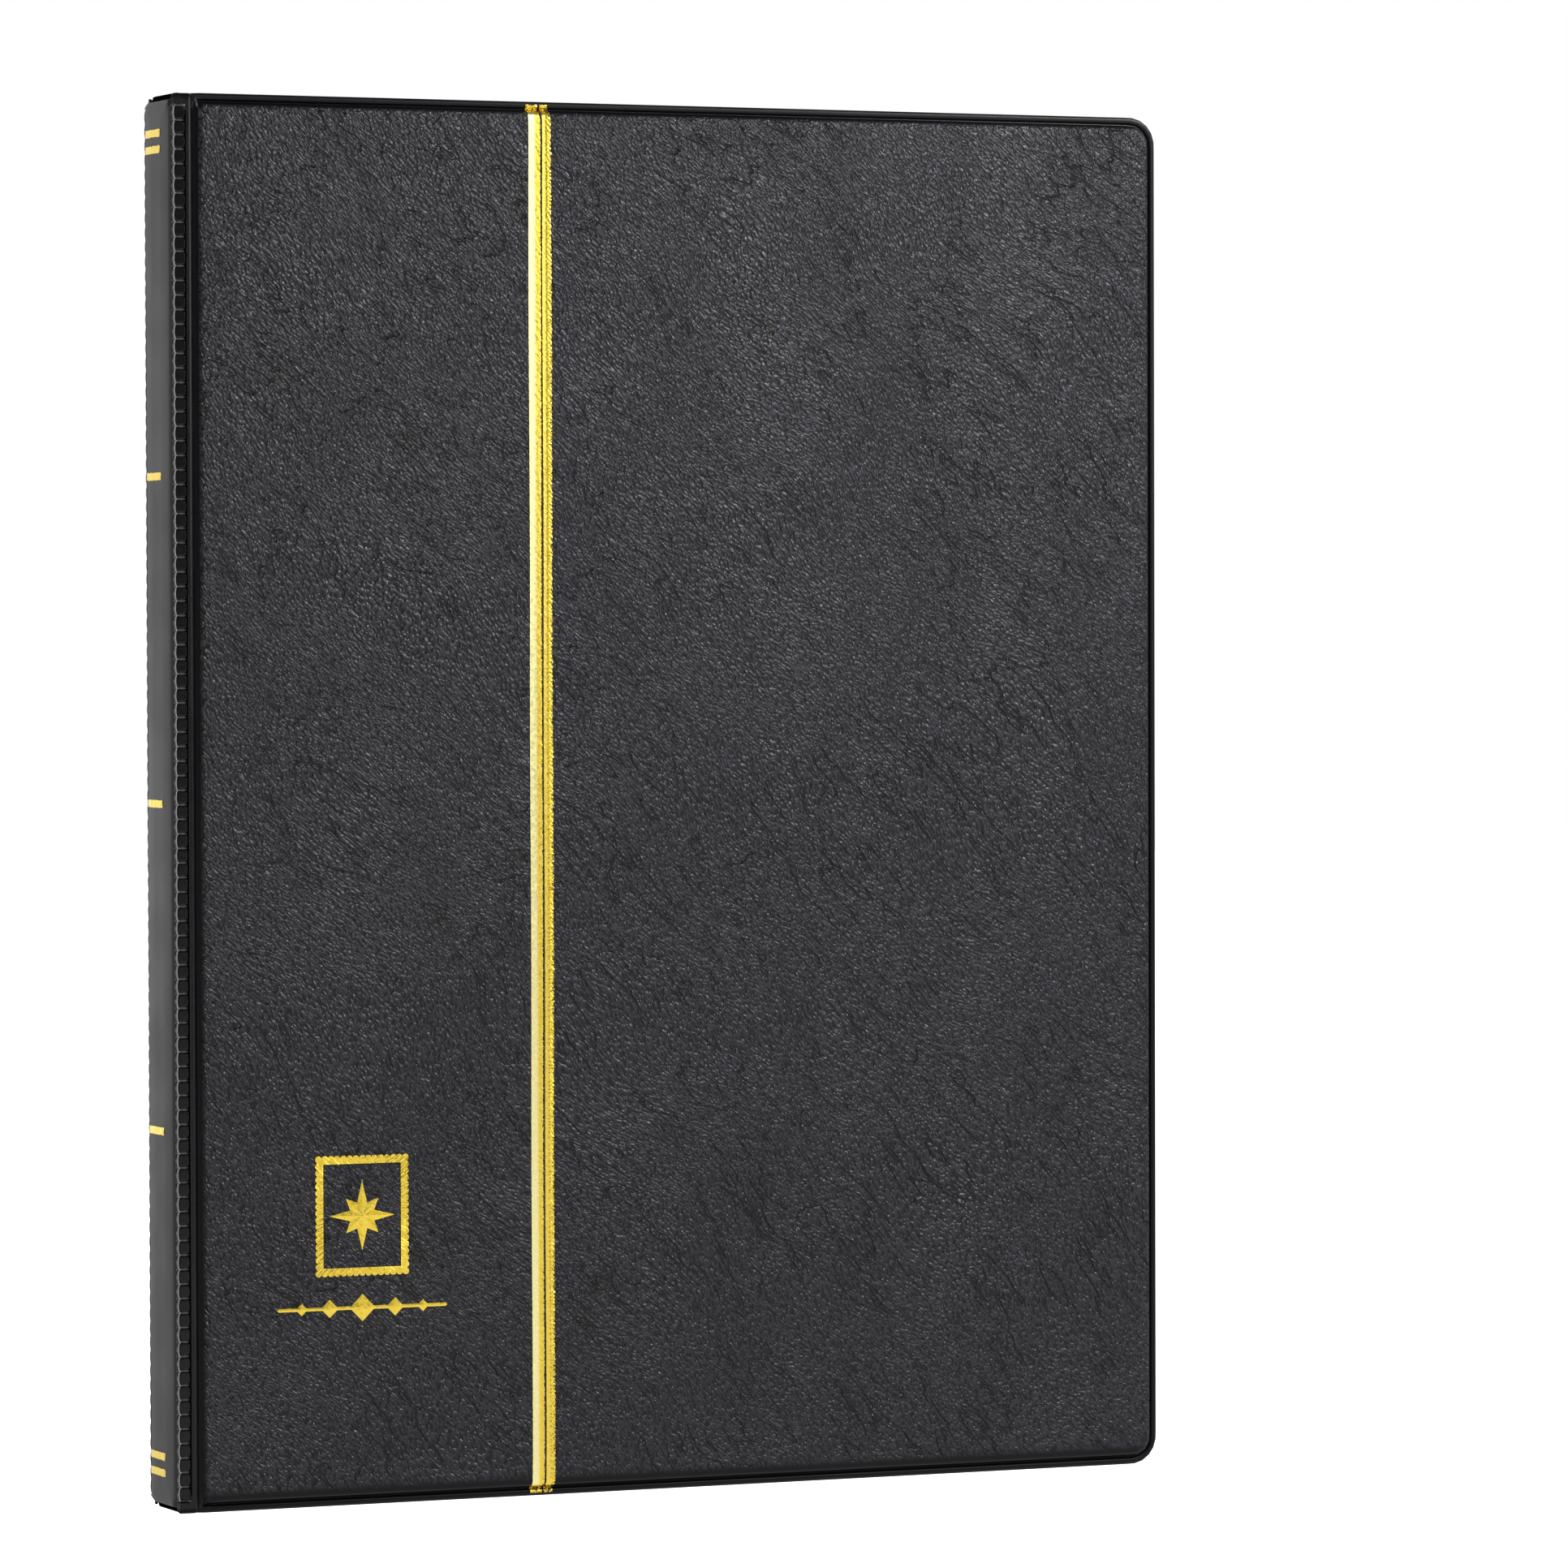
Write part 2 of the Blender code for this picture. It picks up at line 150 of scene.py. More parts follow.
def slab_faces(shape, first=0):
    """Faces of a closed thin solid, whose top and bottom grids of points are stored one after the other."""
    rows, columns = shape
    count = rows * columns
    index = np.arange(count).reshape(rows, columns)
    border = np.concatenate([index[0, :-1], index[:-1, -1], index[-1, :0:-1], index[:0:-1, 0]])
    ahead = np.roll(border, -1)
    walls = np.stack([border, ahead, ahead + count, border + count], axis=-1)
    top, bottom = grid_faces(rows, columns), grid_faces(rows, columns, count)[:, ::-1]
    return first + np.concatenate([top, bottom, walls])


def slab(name, top, bottom, material, smooth_angle=40.0):
    """A closed thin solid between two grids of points, each an array of rows x columns x 3."""
    points = np.concatenate([top.reshape(-1, 3), bottom.reshape(-1, 3)])
    return add_mesh(name, points, slab_faces(top.shape[:2]), material, smooth_angle)


def ribbon(name, line, z, thickness, material):
    """A thin upright sheet that follows a line of (x, y) in plan, with rows of points at the heights z."""
    step = np.gradient(line, axis=0)
    normal = np.stack([-step[:, 1], step[:, 0]], axis=-1)
    normal = normal / np.linalg.norm(normal, axis=1)[:, None] * thickness / 2

    def surface(plan):
        plan = np.broadcast_to(plan[None], (len(z), len(line), 2))
        height = np.broadcast_to(z[:, None, None], (len(z), len(line), 1))
        return np.concatenate([plan, height], axis=-1)

    return slab(name, surface(line + normal), surface(line - normal), material)


def rectangle_side(start, end, start_radius, end_radius, toward, count):
    """Points at equal steps from the middle of a corner's arc, along a side, to the middle of the next."""
    start, end, toward = (np.array(p, float) for p in (start, end, toward))
    along = (end - start) / np.linalg.norm(end - start)
    angles = np.linspace(math.pi / 4, 0, ARC_STEPS)[:, None]
    run, rise = 1 - np.sin(angles), 1 - np.cos(angles)
    leaving = start + start_radius * (run * along + rise * toward)
    arriving = end - end_radius * (run * along - rise * toward)
    path = np.concatenate([leaving, arriving[::-1]])
    walked = np.concatenate([[0.0], np.cumsum(np.linalg.norm(np.diff(path, axis=0), axis=1))])
    wanted = np.linspace(0, walked[-1], count + 1)[:-1]
    return np.stack([np.interp(wanted, walked, path[:, i]) for i in (0, 1)], axis=-1)


def rounded_ring(low, high, radii, inset, counts):
    """A closed ring of a rounded rectangle, drawn in by inset. radii are the low and the high side's."""
    u0, v0, u1, v1 = low[0] + inset, low[1] + inset, high[0] - inset, high[1] - inset
    near, far = (max(r - inset, 0.0) for r in radii)
    sides = (
        ((u0, v0), (u1, v0), near, far, (0, 1), counts[0]),
        ((u1, v0), (u1, v1), far, far, (-1, 0), counts[1]),
        ((u1, v1), (u0, v1), far, near, (0, -1), counts[0]),
        ((u0, v1), (u0, v0), near, near, (1, 0), counts[1]),
    )
    return np.concatenate([rectangle_side(*side) for side in sides])


def panel_layout(low, high, radii, insets, counts):
    """A rounded rectangle as rings of points at insets, with a grid of points inside the last ring.

    Returns the points, the faces, and the indices of the outermost ring.
    """
    rings = [rounded_ring(low, high, radii, inset, counts) for inset in insets]
    around = len(rings[0])
    points = np.concatenate(rings)
    faces = [grid_faces(len(rings), around, 0, wrap=True)]
    last = (len(rings) - 1) * around
    nu, nv = counts
    u = np.linspace(low[0] + insets[-1], high[0] - insets[-1], nu + 1)
    v = np.linspace(low[1] + insets[-1], high[1] - insets[-1], nv + 1)
    grid_u, grid_v = np.meshgrid(u, v, indexing="xy")
    index = np.full((nv + 1, nu + 1), -1)
    index[0, :nu] = last + np.arange(nu)
    index[:nv, nu] = last + nu + np.arange(nv)
    index[nv, :0:-1] = last + nu + nv + np.arange(nu)
    index[:0:-1, 0] = last + 2 * nu + nv + np.arange(nv)
    inner = index < 0
    index[inner] = len(points) + np.arange(inner.sum())
    points = np.concatenate([points, np.stack([grid_u[inner], grid_v[inner]], axis=-1)])
    quads = np.stack([index[:-1, :-1], index[:-1, 1:], index[1:, 1:], index[1:, :-1]], axis=-1)
    faces.append(quads.reshape(-1, 4))
    return points, np.concatenate(faces), np.arange(around)


def make_tray(name, outline, insets, counts, depth, place, behind, material):
    """A skin as a shallow tray: its shaped outer face, its wall and hollow, and the hollow's floor.

    outline is (low, high, radii). depth gives the face's relief, and place puts flat points at a depth.
    behind lists the (inset, depth) of each ring after the face's rim.
    """
    flat, faces, ring = panel_layout(*outline, [inset * MM for inset in insets], counts)
    points = [place(flat, depth(flat[:, 0], flat[:, 1]))]
    faces = [tuple(face) for face in faces]
    count = len(flat)
    for inset, level in behind:
        loop = rounded_ring(*outline, inset, counts)
        points.append(place(loop, level))
        fresh = count + np.arange(len(loop))
        faces += list(zip(ring, np.roll(ring, -1), np.roll(fresh, -1), fresh))
        count, ring = count + len(loop), fresh
    faces.append(tuple(ring))
    return add_mesh(name, np.concatenate(points), faces, material)


def rounded_distance(across, up, radius):
    """The smaller of the distances in from two sides of an outline, rounded off at their corner."""
    over_across, over_up = radius - across, radius - up
    corner = radius - np.hypot(np.maximum(over_across, 0), np.maximum(over_up, 0))
    return np.where((over_across > 0) & (over_up > 0), corner, np.minimum(across, up))


def cover_points(side, uv, depth):
    """(x, y, z) of points at (x, z) and a depth below a cover's outer plane."""
    y = side * (OUTER_Y - np.broadcast_to(depth, uv.shape[:-1]))
    return np.stack([uv[..., 0], y, uv[..., 1]], axis=-1)


# ------------------------------------------------------------------- materials


class Nodes:
    """A short way to write a material's node tree."""

    def __init__(self, name):
        self.material = bpy.data.materials.new(name)
        self.material.use_nodes = True
        self.tree = self.material.node_tree
        self.shader = self.tree.nodes["Principled BSDF"]
        coordinates = self.tree.nodes.new("ShaderNodeTexCoord")
        self.place = coordinates.outputs["Object"]

    def add(self, kind, inputs=None, **settings):
        """A node of a kind, with its inputs by index or name, and its settings."""
        made = self.tree.nodes.new("ShaderNode" + kind)
        for key, value in settings.items():
            setattr(made, key, value)
        for key, value in (inputs or {}).items():
            self.put(made.inputs[key], value)
        return made

    def put(self, socket, value):
        """Links a socket to an output, or sets its value."""
        if isinstance(value, bpy.types.NodeSocket):
            self.tree.links.new(value, socket)
        else:
            socket.default_value = value

    def attribute(self, name):
        """A value that paint() stored on the piece."""
        return self.add("Attribute", attribute_name=name).outputs["Fac"]

    def math(self, operation, a, b=0.0, c=0.0):
        return self.add("Math", {0: a, 1: b, 2: c}, operation=operation).outputs[0]

    def vector(self, operation, a, b):
        made = self.add("VectorMath", {0: a}, operation=operation)
        if operation == "SCALE":
            self.put(made.inputs["Scale"], b)
        else:
            self.put(made.inputs[1], b)
        return made.outputs[0]

    def ramp(self, value, low, high, out_low=0.0, out_high=1.0):
        """A smooth step from out_low, where value is low, to out_high, where it is high."""
        made = self.add("MapRange", {0: value, 1: low, 2: high, 3: out_low, 4: out_high})
        made.interpolation_type = "SMOOTHSTEP"
        return made.outputs[0]

    def noise(self, place, size, detail=2.0, roughness=0.5, colour=False):
        """Noise whose features are about size metres across."""
        inputs = {"Vector": place, "Scale": 1 / size, "Detail": detail, "Roughness": roughness}
        made = self.add("TexNoise", inputs)
        return made.outputs["Color" if colour else "Fac"]

    def slanted(self, place, turn, scale):
        """Coordinates turned about y, in degrees: patterns run on a slant, and longer for a small scale."""
        inputs = {"Vector": place, "Rotation": (0, math.radians(turn), 0)}
        made = self.add("VectorRotate", inputs, rotation_type="EULER_XYZ")
        return self.vector("MULTIPLY", made.outputs[0], (1.0, 1.0, scale))

    def warped(self, place, size, amount):
        """Coordinates pushed about by amount metres, over patches of the given size."""
        push = self.vector("SUBTRACT", self.noise(place, size, 1.0, colour=True), (0.5, 0.5, 0.5))
        return self.vector("ADD", place, self.vector("SCALE", push, amount))

    def cells(self, place, size, feature):
        """Distance from the middle of the nearest of many cells, each about size metres across."""
        made = self.add("TexVoronoi", {"Vector": place, "Scale": 1 / size}, feature=feature)
        return made.outputs["Distance"]

    def mix(self, share, a, b):
        """Colour a where share is 0, and b where it is 1."""
        made = self.add("Mix", {"Factor": share}, data_type="RGBA")
        self.put(made.inputs[6], a)
        self.put(made.inputs[7], b)
        return made.outputs[2]

    def bump(self, height, distance):
        """Relief in the shader's normal. distance is how high a height of 1 stands, in metres."""
        made = self.add("Bump", {"Height": height, "Distance": distance})
        self.put(self.shader.inputs["Normal"], made.outputs[0])

    def set(self, **values):
        """Sets or links the shader's own sockets, named with _ for each space."""
        for key, value in values.items():
            self.put(self.shader.inputs[key.replace("_", " ")], value)


def rgb(red, green, blue):
    """An opaque colour."""
    return (red, green, blue, 1.0)


def grey(level):
    """A neutral colour."""
    return rgb(level, level, level)


# The slant of each part of the leather's grain: (degrees, scale along it).
PEBBLE_SLANT, LONG_CREASE_SLANT, SHORT_CREASE_SLANT = (42, 0.56), (48, 0.2), (34, 0.4)
FOIL_SLANT, FIBRE_SLANT = (42, 0.45), (20, 0.3)


def crease(n, place, size, width):
    """Thin wandering lines, 1 along their middle, where a noise passes its mean."""
    value = n.noise(place, size, 2.5)
    away = n.math("ABSOLUTE", n.math("SUBTRACT", value, 0.5))
    return n.ramp(away, 0.0, width, 1.0, 0.0)


def leather_height(n):
    """Heights from about -1 to 1 of the embossed leather: fine flowing pebbles and slanting creases."""
    flow = n.warped(n.warped(n.place, 40 * MM, 13 * MM), 5.5 * MM, 1.0 * MM)
    pebble = n.ramp(n.noise(n.slanted(flow, *PEBBLE_SLANT), 0.4 * MM, 0.6), 0.3, 0.68)
    long_line = crease(n, n.slanted(flow, *LONG_CREASE_SLANT), 3.8 * MM, 0.016)
    short_line = crease(n, n.slanted(flow, *SHORT_CREASE_SLANT), 1.5 * MM, 0.03)
    # The long creases come and go over patches of the cover.
    shown = n.ramp(n.noise(n.place, 18 * MM), 0.36, 0.56)
    long_line = n.math("MULTIPLY", n.math("MULTIPLY", long_line, shown), 1.5)
    height = n.math("SUBTRACT", n.math("MULTIPLY", pebble, 0.95), long_line)
    return n.math("SUBTRACT", height, n.math("MULTIPLY", short_line, 0.3))


def make_leather():
    """Embossed where the panel is padded, and smooth where the die has pressed the border."""
    n = Nodes("cover_leatherette")
    grain = n.attribute("grain")
    height = n.math("MULTIPLY", leather_height(n), grain)
    height = n.math("MULTIPLY_ADD", n.noise(n.place, 0.9 * MM), 0.12, height)
    n.bump(height, 0.2 * MM)
    # hollow is painted shade: the base colour goes nearly black down the grain's pebble valleys and
    # creases, where shade falls.
    hollow, crown = rgb(0.002, 0.002, 0.003), rgb(0.017, 0.017, 0.023)
    n.set(
        Base_Color=n.mix(n.ramp(height, 0.0, 0.8), hollow, crown),
        Roughness=n.ramp(n.noise(n.place, 30 * MM, 3.0), 0.3, 0.7, 0.32, 0.33),
        Specular_IOR_Level=n.math("MULTIPLY_ADD", grain, 0.14, 0.17),
    )
    return n.material


def make_smooth_leather():
    """The spine's: satin on its panel, with only a fine even texture, and glossy on its lip, whose
    near-black colour is painted shade.
    """
    n = Nodes("spine_leatherette")
    panel = n.attribute("raised")
    n.bump(n.noise(n.place, 0.3 * MM, 3.0, 0.6), 0.03 * MM)
    tone = n.mix(n.noise(n.place, 8 * MM, 3.0), rgb(0.016, 0.016, 0.017), rgb(0.025, 0.025, 0.026))
    gloss = n.ramp(n.noise(n.place, 12 * MM), 0.3, 0.7, 0.23, 0.29)
    n.set(
        # The lip's near-black base colour, where raised is 0, is painted shade.
        Base_Color=n.mix(panel, grey(0.002), tone),
        Roughness=n.math("MULTIPLY_ADD", panel, 0.2, gloss),
        Specular_IOR_Level=n.math("MULTIPLY", panel, 0.3),
    )
    return n.material


def make_weld_vinyl():
    """Vinyl that a welding die has pressed smooth, with painted pale highlights on its arcs and rungs,
    dullest at its cut ends.
    """
    n = Nodes("hinge_vinyl")
    upright = n.add("SeparateXYZ", {0: n.place}).outputs["Z"]
    end = n.math("MINIMUM", upright, n.math("SUBTRACT", HEIGHT, upright))
    n.bump(n.noise(n.place, 1.1 * MM), 0.03 * MM)
    black = n.mix(n.noise(n.place, 5 * MM), rgb(0.002, 0.002, 0.003), rgb(0.005, 0.005, 0.006))
    n.set(
        # The pale grey where "thin" is high is a painted highlight on the arcs, the rungs and the dots by
        # the rungs' ends.
        Base_Color=n.mix(n.attribute("thin"), black, rgb(0.26, 0.26, 0.27)),
        Roughness=n.ramp(n.noise(n.place, 2.5 * MM), 0.3, 0.7, 0.17, 0.25),
        Specular_IOR_Level=n.ramp(end, 0.6 * MM, 1.2 * MM, 0.06, 0.26),
    )
    return n.material


def make_foil():
    """Hot-stamped gold, which has come away in flecks where its wear is high."""
    n = Nodes("gold_foil")
    wear = n.attribute("wear")
    fleck = n.noise(n.place, 0.3 * MM, 2.0, 0.6)
    kept = n.ramp(n.math("SUBTRACT", fleck, n.math("MULTIPLY_ADD", wear, 0.3, 0.16)), 0.0, 0.05)
    along = n.slanted(n.warped(n.place, 5.5 * MM, 1.6 * MM), *FOIL_SLANT)
    grain = n.noise(along, 0.5 * MM, 1.5, 0.55)
    n.bump(n.math("MULTIPLY", grain, n.math("MULTIPLY_ADD", wear, 0.9, 0.1)), 0.09 * MM)
    tone = n.mix(n.noise(n.place, 1.4 * MM, 3.0), rgb(0.84, 0.56, 0.03), rgb(0.98, 0.76, 0.13))
    # Where the wear is below 0.3 the gold turns pale yellow: a painted highlight.
    tone = n.mix(n.ramp(wear, 0.0, 0.3, 1.0, 0.0), tone, rgb(1.0, 0.9, 0.42))
    n.set(
        Base_Color=n.mix(kept, rgb(0.012, 0.01, 0.008), tone),
        Metallic=n.ramp(kept, 0.0, 1.0),
        Roughness=n.ramp(n.noise(n.place, 0.6 * MM), 0.3, 0.7, 0.2, 0.34),
    )
    return n.material


def make_lining():
    """Dull black vinyl with a soft pebble."""
    n = Nodes("lining_vinyl")
    grain = n.cells(n.warped(n.place, 3 * MM, 1 * MM), 0.7 * MM, "SMOOTH_F1")
    n.bump(grain, 0.05 * MM)
    patch = n.noise(n.place, 9 * MM, 3.0)
    n.set(
        Base_Color=n.mix(patch, rgb(0.012, 0.012, 0.013), rgb(0.02, 0.02, 0.022)),
        Roughness=n.ramp(grain, 0.0, 0.8, 0.45, 0.6),
    )
    return n.material


def make_card():
    """Solid black card, with short fibres."""
    n = Nodes("black_card")
    fibre = n.noise(n.slanted(n.place, *FIBRE_SLANT), 0.25 * MM, 4.0, 0.7)
    n.bump(fibre, 0.02 * MM)
    n.set(
        Base_Color=n.mix(fibre, rgb(0.007, 0.007, 0.008), rgb(0.018, 0.018, 0.02)),
        Roughness=n.ramp(fibre, 0.3, 0.7, 0.6, 0.75),
    )
    return n.material


def make_film():
    """Clear pocket film, slightly hazy."""
    n = Nodes("pocket_film")
    haze = n.noise(n.place, 14 * MM, 3.0)
    n.bump(n.noise(n.place, 9 * MM, 1.0), 0.08 * MM)
    n.set(
        Base_Color=n.mix(haze, rgb(0.3, 0.31, 0.34), rgb(0.36, 0.37, 0.4)),
        Roughness=n.ramp(haze, 0.3, 0.7, 0.12, 0.2),
        Alpha=0.45,
    )
    return n.material


def make_linen():
    """Black cloth, woven of threads in two directions."""
    n = Nodes("binding_linen")
    thread = {"Vector": n.place, "Scale": 400.0, "Distortion": 0.6}
    warp = n.add("TexWave", thread, bands_direction="Z")
    weft = n.add("TexWave", thread, bands_direction="X")
    weave = n.math("MAXIMUM", warp.outputs["Fac"], weft.outputs["Fac"])
    n.bump(weave, 0.06 * MM)
    n.set(
        Base_Color=n.mix(weave, grey(0.006), rgb(0.03, 0.03, 0.032)),
        Roughness=n.ramp(weave, 0.0, 1.0, 0.95, 0.8),
    )
    return n.material


def make_board():
    """Grey pulp board."""
    n = Nodes("grey_board")
    pulp = n.noise(n.place, 1.5 * MM, 5.0, 0.7)
    n.bump(pulp, 0.08 * MM)
    n.set(
        Base_Color=n.mix(pulp, rgb(0.3, 0.28, 0.25), rgb(0.5, 0.48, 0.44)),
        Roughness=n.ramp(pulp, 0.3, 0.7, 0.85, 0.95),
    )
    return n.material


def make_foam():
    """Pale foam with fine pores."""
    n = Nodes("foam_pad")
    pores = n.cells(n.place, 0.6 * MM, "F1")
    n.bump(pores, 0.1 * MM)
    n.set(
        Base_Color=n.mix(pores, rgb(0.6, 0.59, 0.55), rgb(0.82, 0.81, 0.77)),
        Roughness=n.ramp(pores, 0.0, 0.8, 0.9, 1.0),
    )
    return n.material


def make_table(name, tones, roughness, glow):
    """A white tabletop: its two slightly different greys, its roughness, and the light it gives off."""
    n = Nodes(name)
    n.set(
        Base_Color=n.mix(n.noise(n.place, 400 * MM, 3.0), grey(tones[0]), grey(tones[1])),
        Roughness=roughness,
        Emission_Color=grey(1.0),
        Emission_Strength=glow,
    )
    return n.material


MATERIALS = {
    "cover_leatherette": make_leather(),
    "spine_leatherette": make_smooth_leather(),
    "hinge_vinyl": make_weld_vinyl(),
    "gold_foil": make_foil(),
    "lining_vinyl": make_lining(),
    "black_card": make_card(),
    "pocket_film": make_film(),
    "binding_linen": make_linen(),
    "grey_board": make_board(),
    "foam_pad": make_foam(),
}


def finish_piece(piece, body, replaced):
    """Says what a piece rides on, and hides the CAD nodes it stands for."""
    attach(piece, body)
    if replaced:
        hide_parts(*replaced)
    return piece


# ---------------------------------------------------------------- cover skins

# (distance from the edge, depth) in millimetres: the welded lip and its groove, then the padded panel.
LIP_STEPS = ((0.0, 1.95), (0.12, 1.68), (0.3, 1.5), (0.6, 1.45), (0.95, 1.5), (1.15, 1.72), (1.3, 1.85),
             (1.42, 1.7), (1.6, 1.1), (1.8, 0.72), (2.1, 0.46), (2.7, 0.26), (3.8, 0.12), (6.0, 0.04),
             (9.0, 0.0), (400.0, 0.0))
# The same on the hinge side, where the panel falls into a valley beside the strip.
VALLEY_STEPS = ((0.0, 1.12), (0.3, 1.12), (0.6, 1.0), (0.9, 0.76), (1.3, 0.46), (1.8, 0.28),
                (2.6, 0.15), (4.0, 0.07), (6.0, 0.02), (9.0, 0.0), (400.0, 0.0))
# Where the skin's rings of points lie, in millimetres in from its outline, and its points per side.
PANEL_INSETS = (0.0, 0.06, 0.15, 0.28, 0.45, 0.65, 0.85, 1.0, 1.12, 1.25, 1.38, 1.5, 1.62, 1.75, 1.9,
                2.1, 2.35, 2.7, 3.2, 3.9, 4.8, 6.0, 7.4)
PANEL_COUNTS = (110, 150)
STEP_REACH, STEP_SAMPLES, STEP_SOFTENING = 10 * MM, 2001, 15
SKIN_WALL, SKIN_THICKNESS = 2.2 * MM, 0.6 * MM
COVER_OUTLINE = ((HINGE_X, 0.0), (FORE_X, HEIGHT), (0.3 * MM, CORNER_RADIUS))


def stepped(steps, distance):
    """Reads a table of (distance, depth) steps, in millimetres, as a smooth curve, in metres."""
    x = np.array([a for a, _ in steps]) * MM
    y = np.array([b for _, b in steps]) * MM
    fine = np.linspace(0, STEP_REACH, STEP_SAMPLES)
    padded = np.pad(np.interp(fine, x, y), STEP_SOFTENING, mode="edge")
    window = 2 * STEP_SOFTENING + 1
    soft = np.convolve(padded, np.ones(window) / window, mode="valid")
    return np.interp(distance, fine, soft)


def edge_distance(u, v):
    """Distance in from the cover's three free edges, whose two corners are round."""
    return rounded_distance(FORE_X - u, np.minimum(v, HEIGHT - v), CORNER_RADIUS)


def panel_wave(u, v):
    """The padding's slow unevenness, in metres, always inwards."""
    wave = np.sin(u * 61 + v * 23 + 1.1) + np.sin(u * 34 - v * 52 + 0.4) + 0.7 * np.sin(u * 93 + v * 77)
    inside = smooth_step(3 * MM, 14 * MM, np.minimum(edge_distance(u, v), u - HINGE_X))
    return 0.035 * MM * (1 + wave / 2.7) * inside


def skin_depth(u, v):
    """How deep the cover's outer skin lies below its outer plane at (x, z)."""
    free = stepped(LIP_STEPS, np.maximum(edge_distance(u, v), 0))
    hinge = stepped(VALLEY_STEPS, u - HINGE_X)
    # The larger of the two, with a soft change from one to the other.
    larger = (free + hinge + np.hypot(free - hinge, 0.25 * MM)) / 2
    larger = larger - 0.12 * MM * smooth_step(0.0, 0.4 * MM, free + hinge)
    return np.maximum(larger, 0) + panel_wave(u, v)


def grain_share(places):
    """Where the cover's skin is embossed: not on its border, least of all along the foot, nor inside."""
    u, v = places[:, 0], places[:, 2]
    within = smooth_step(1.7 * MM, 2.2 * MM, edge_distance(u, v))
    past_hinge = smooth_step(0.8 * MM, 1.7 * MM, u - HINGE_X)
    above_foot = smooth_step(2.4 * MM, 3.8 * MM, v)
    outside = smooth_step(2.2 * MM, 1.8 * MM, OUTER_Y - np.abs(places[:, 1]))
    return within * past_hinge * above_foot * outside


def make_cover_skin(prefix, side, body):
    """The padded skin: outer face, lip, and the pocket behind it that holds the pad and the board."""
    behind = ((0.0, RIM_DEPTH), (SKIN_WALL, RIM_DEPTH), (SKIN_WALL, SKIN_THICKNESS))
    piece = make_tray(f"{prefix}_cover_skin", COVER_OUTLINE, PANEL_INSETS, PANEL_COUNTS, skin_depth,
                      partial(cover_points, side), behind, MATERIALS["cover_leatherette"])
    paint(piece, "grain", grain_share)
    finish_piece(piece, body, [f"{prefix}_skin"])
    return piece


# --------------------------------------------------------------- hinge strips

# Columns of points over the scalloped edge, as wide as EDGE_WIDTH, and over the rest of the strip.
EDGE_COLUMNS, REST_COLUMNS, EDGE_WIDTH = 18, 29, 0.75 * MM
# Heights of a bead's rows of points, as parts of its pitch: closest beside the rungs.
BEAD_ROWS = np.array([0.0, 0.035, 0.075, 0.13, 0.2, 0.3, 0.42, 0.5, 0.58, 0.7, 0.8, 0.87, 0.925, 0.965])
CAP_ROWS, CAP_MARGIN = 9, 0.15 * MM
SCALLOP = 0.34 * MM
BEAD_CENTRE, BEAD_REACH = 1.3 * MM, (0.84 * MM, 1.03 * MM)
BEAD_TOP, BEAD_TILT = 0.6 * MM, 0.24 * MM
# The beads lie in a window like a ladder's, whose far side is the foot of the ridge.
LADDER_EDGE, LADDER_MARGIN, LADDER_RADIUS = 2.18 * MM, 2.1 * MM, 1.0 * MM
# Depths of the window's floor, the ridge, the scallops' foot, the strip's underside and its lowest top.
FLOOR_DEPTH, RIDGE_DEPTH, FOOT_DEPTH = 0.9 * MM, 0.14 * MM, 0.92 * MM
UNDERSIDE_DEPTH, LOWEST_TOP = 1.0 * MM, 0.96 * MM
# How far the arcs and rungs rise, and how far the two ends and the side beside the cover fall.
ARC_RISE, RUNG_RISE = 0.54 * MM, 0.3 * MM
END_FALL, END_REACH = 0.6 * MM, 0.8 * MM
VALLEY_DROP, VALLEY_FALL = 1.05 * MM, (2.55 * MM, 4.05 * MM)
LADDER_FOOT = (HEIGHT - BEAD_COUNT * BEAD_PITCH) / 2
# How far short of head and foot the webs end.
WEB_MARGIN, WEB_ROWS = 0.4 * MM, 90


def bead_phase(z):
    """(height above the middle of the nearest bead, whether there is a bead there)."""
    count = (z - LADDER_FOOT) / BEAD_PITCH
    return (count - np.floor(count) - 0.5) * BEAD_PITCH, (count > 0) & (count < BEAD_COUNT)


def strip_edge(z):
    """How far the strip's scalloped edge draws in at z."""
    phase, in_row = bead_phase(z)
    round_off = 1 - np.sqrt(np.clip(1 - (phase / (0.52 * BEAD_PITCH)) ** 2, 0, 1))
    return SCALLOP * np.where(in_row, round_off, 0.5)


def ladder_distance(s, z):
    """How far inside the ladder's window a point is. Its corners beside the ridge are round."""
    end = np.minimum(z, HEIGHT - z) - LADDER_MARGIN
    return rounded_distance(LADDER_EDGE - s, end, LADDER_RADIUS)


